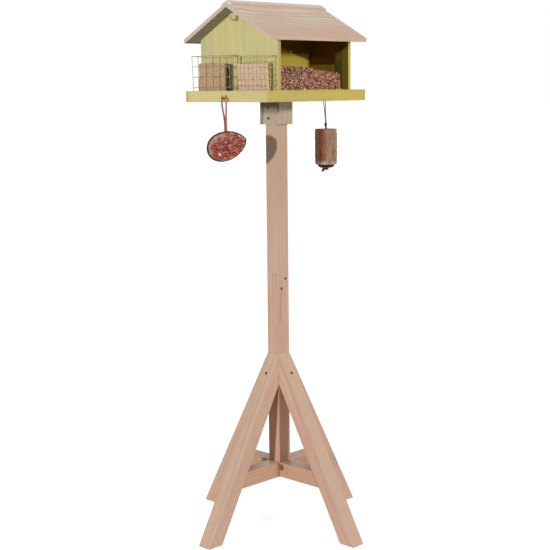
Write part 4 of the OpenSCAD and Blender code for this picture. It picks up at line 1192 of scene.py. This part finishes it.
def roll_string(material):
    """The inner string with its knot and a loose end."""
    top = HOOK_Z - 74
    middle = np.array((ROLL_X, 0, 0))
    line = [(-0.8, 0, top + 3), (-0.6, 0.1, top - 4), (0, 0, ROLL_TOP + 2), (0, 0, ROLL_TOP - 8)]
    parts = [strands(smooth_path(middle + line, 1.2), 5.7, 9)]
    angles = np.linspace(0, 2 * np.pi, 17)
    for turn, (radius, lift, tilt) in enumerate([(2.6, 2.4, 0.5), (2.9, 0.2, -0.4), (2.4, -2.2, 0.35)]):
        loop = np.stack([ROLL_X - 0.8 + radius * np.cos(angles), radius * np.sin(angles),
                         top + lift + tilt * radius * np.cos(angles + turn)], -1)
        parts.append(tube(loop, 1.35, 7))
    tail = smooth_path(middle + [(-1, 1, top + 1), (-4.2, 3.2, top - 1.5), (-6, 4.8, top - 3.5)], 1.0)
    parts.append(tube(tail, 0.9, 6, np.linspace(1, 0.55, len(tail))))
    string_piece("roll_thread_and_knot", *join(parts), material)


def roll_plug():
    """The dark plug under the roll."""
    least, low = 0.01, -8.8
    profile = [(least, low), (12, -8.6), (16.5, -7.6), (20.6, -5.2), (22.6, -2), (21.6, 0.02), (least, 0.02)]
    fine = smooth_path([(r, 0, ROLL_LOW + z) for r, z in profile], 1.6)
    points, faces = lathe([(max(r, least), z) for r, _, z in fine], 56)
    flat = points * np.array([1, 1, 0])
    outer = (np.linalg.norm(flat, axis=1) > 4)[:, None]
    points = points + 0.4 * wave(points, 8, 71)[:, None] * unit(flat) * outer
    points[:, 2] = np.clip(points[:, 2], ROLL_LOW + low, ROLL_LOW + 0.02)
    points[:, 0] += ROLL_X
    string_piece("roll_plug", points, faces, plug_material())


def roll_ribbon(material):
    """Three strips that hang under the plug, each with a fringe."""
    rows, thick, hairs = 9, 0.45, 5
    strips = [(4.5, 10, 10, 10.8), (1.5, 4.5, 13, 7), (-3.6, -3, 9, 5.8)]
    share = np.linspace(0, 1, rows)
    parts = []
    for k, (start, reach, width, drop) in enumerate(strips):
        out = start + (reach - start) * share
        line = np.stack([ROLL_X - 0.70 * out, 0.71 * out, ROLL_LOW - 8 - drop * share], -1)
        turn = -0.79 + 0.25 * (k - 1)
        across = unit(np.array([math.cos(turn), math.sin(turn), 0.1]))
        normal = np.cross(across, np.array(UP, float))
        wide = width * (1 - 0.35 * share ** 2)
        centre = line + normal * (0.8 * np.sin(np.linspace(0, 5, rows) + k))[:, None]
        ring = [centre + across * (a * wide / 2)[:, None] + normal * b * thick / 2
                for a, b in ((-1, -1), (1, -1), (1, 1), (-1, 1))]
        parts.append((np.stack(ring, 1).reshape(-1, 3), capped(rows, 4)))
        for hair in range(hairs):
            tip = centre[-1] + across * wide[-1] * (hair / (hairs - 1) - 0.5)
            steps = np.array([(0, 0, 0.8), (0.3 * hair - 0.6, -0.3, -1.0), (0.5 * hair - 1.1, -0.4, -2.0)])
            thread = smooth_path(tip + steps, 0.6)
            thread[:, 2] = np.maximum(thread[:, 2], ROLL_LOW - 21)
            parts.append(tube(thread, 0.22, 5))
    string_piece("roll_ribbon", *join(parts), material)


def roll_fittings():
    stops = ((0.3, (62, 22, 20)), (0.55, (100, 36, 28)), (0.8, (142, 74, 52)))
    string = plain_material("dark_string", ((700, 700, 260), 3, 0.7), stops, 0.8, (0.3, 0.9),
                            Specular_IOR_Level=0.2)
    roll_string(string)
    roll_plug()
    roll_ribbon(string)


# Floor, world and lamps

def set_stage():
    """The floor is white to the camera and to gloss, with the shadow kept, and so is the world."""
    g = Graph("floor")
    tone = g.ramp(g.noise(3, 2), (0.3, 0.86), (0.7, 0.88))
    diffuse = g.node("ShaderNodeBsdfDiffuse", {"Color": tone})
    glow = g.node("ShaderNodeEmission", {"Color": linear(1.0), "Strength": g.times(g.seen(), 0.72)})
    both = g.node("ShaderNodeAddShader", {0: diffuse.outputs[0], 1: glow.outputs[0]})
    reach = 60
    mesh = bpy.data.meshes.new("floor")
    corners = [(x * reach, y * reach, 0) for x, y in ((-1, -1), (1, -1), (1, 1), (-1, 1))]
    mesh.from_pydata(corners, [], [(0, 1, 2, 3)])
    mesh.materials.append(g.output(both))
    floor = bpy.data.objects.new("floor", mesh)
    scene.collection.objects.link(floor)
    g = Graph("world", world=True)
    strength = g.span(g.seen(), 0.0, 1.0, WORLD_FILL, 1.0)
    sky = g.node("ShaderNodeBackground", {"Color": linear(1.0), "Strength": strength})
    scene.world = g.output(sky, "ShaderNodeOutputWorld")


def sun(name, toward, strength, angle):
    """A sun that shines from the direction toward, with soft shadows by its angle in degrees."""
    data = bpy.data.lights.new(name, "SUN")
    data.energy = strength
    data.angle = math.radians(angle)
    lamp = bpy.data.objects.new(name, data)
    lamp.rotation_euler = Vector(toward).to_track_quat("Z", "Y").to_euler()
    scene.collection.objects.link(lamp)


def main():
    scene.view_settings.view_transform = "Standard"
    set_camera()
    cords()
    set_stage()
    sun("key", (-0.985, -0.171, 0.10), 2.1, 2.5)
    sun("front", (0.05, -0.97, 0.20), 1.66, 6)
    sun("back", (0.62, 0.77, 0.14), 1.0, 25)
    sun("top", (-0.3, -0.3, 0.9), 0.35, 60)
    paint_stand()
    paint_house()
    paint_fittings()
    cages()
    suet_blocks()
    seeds()
    coconut()
    roll()
    roll_fittings()


main()
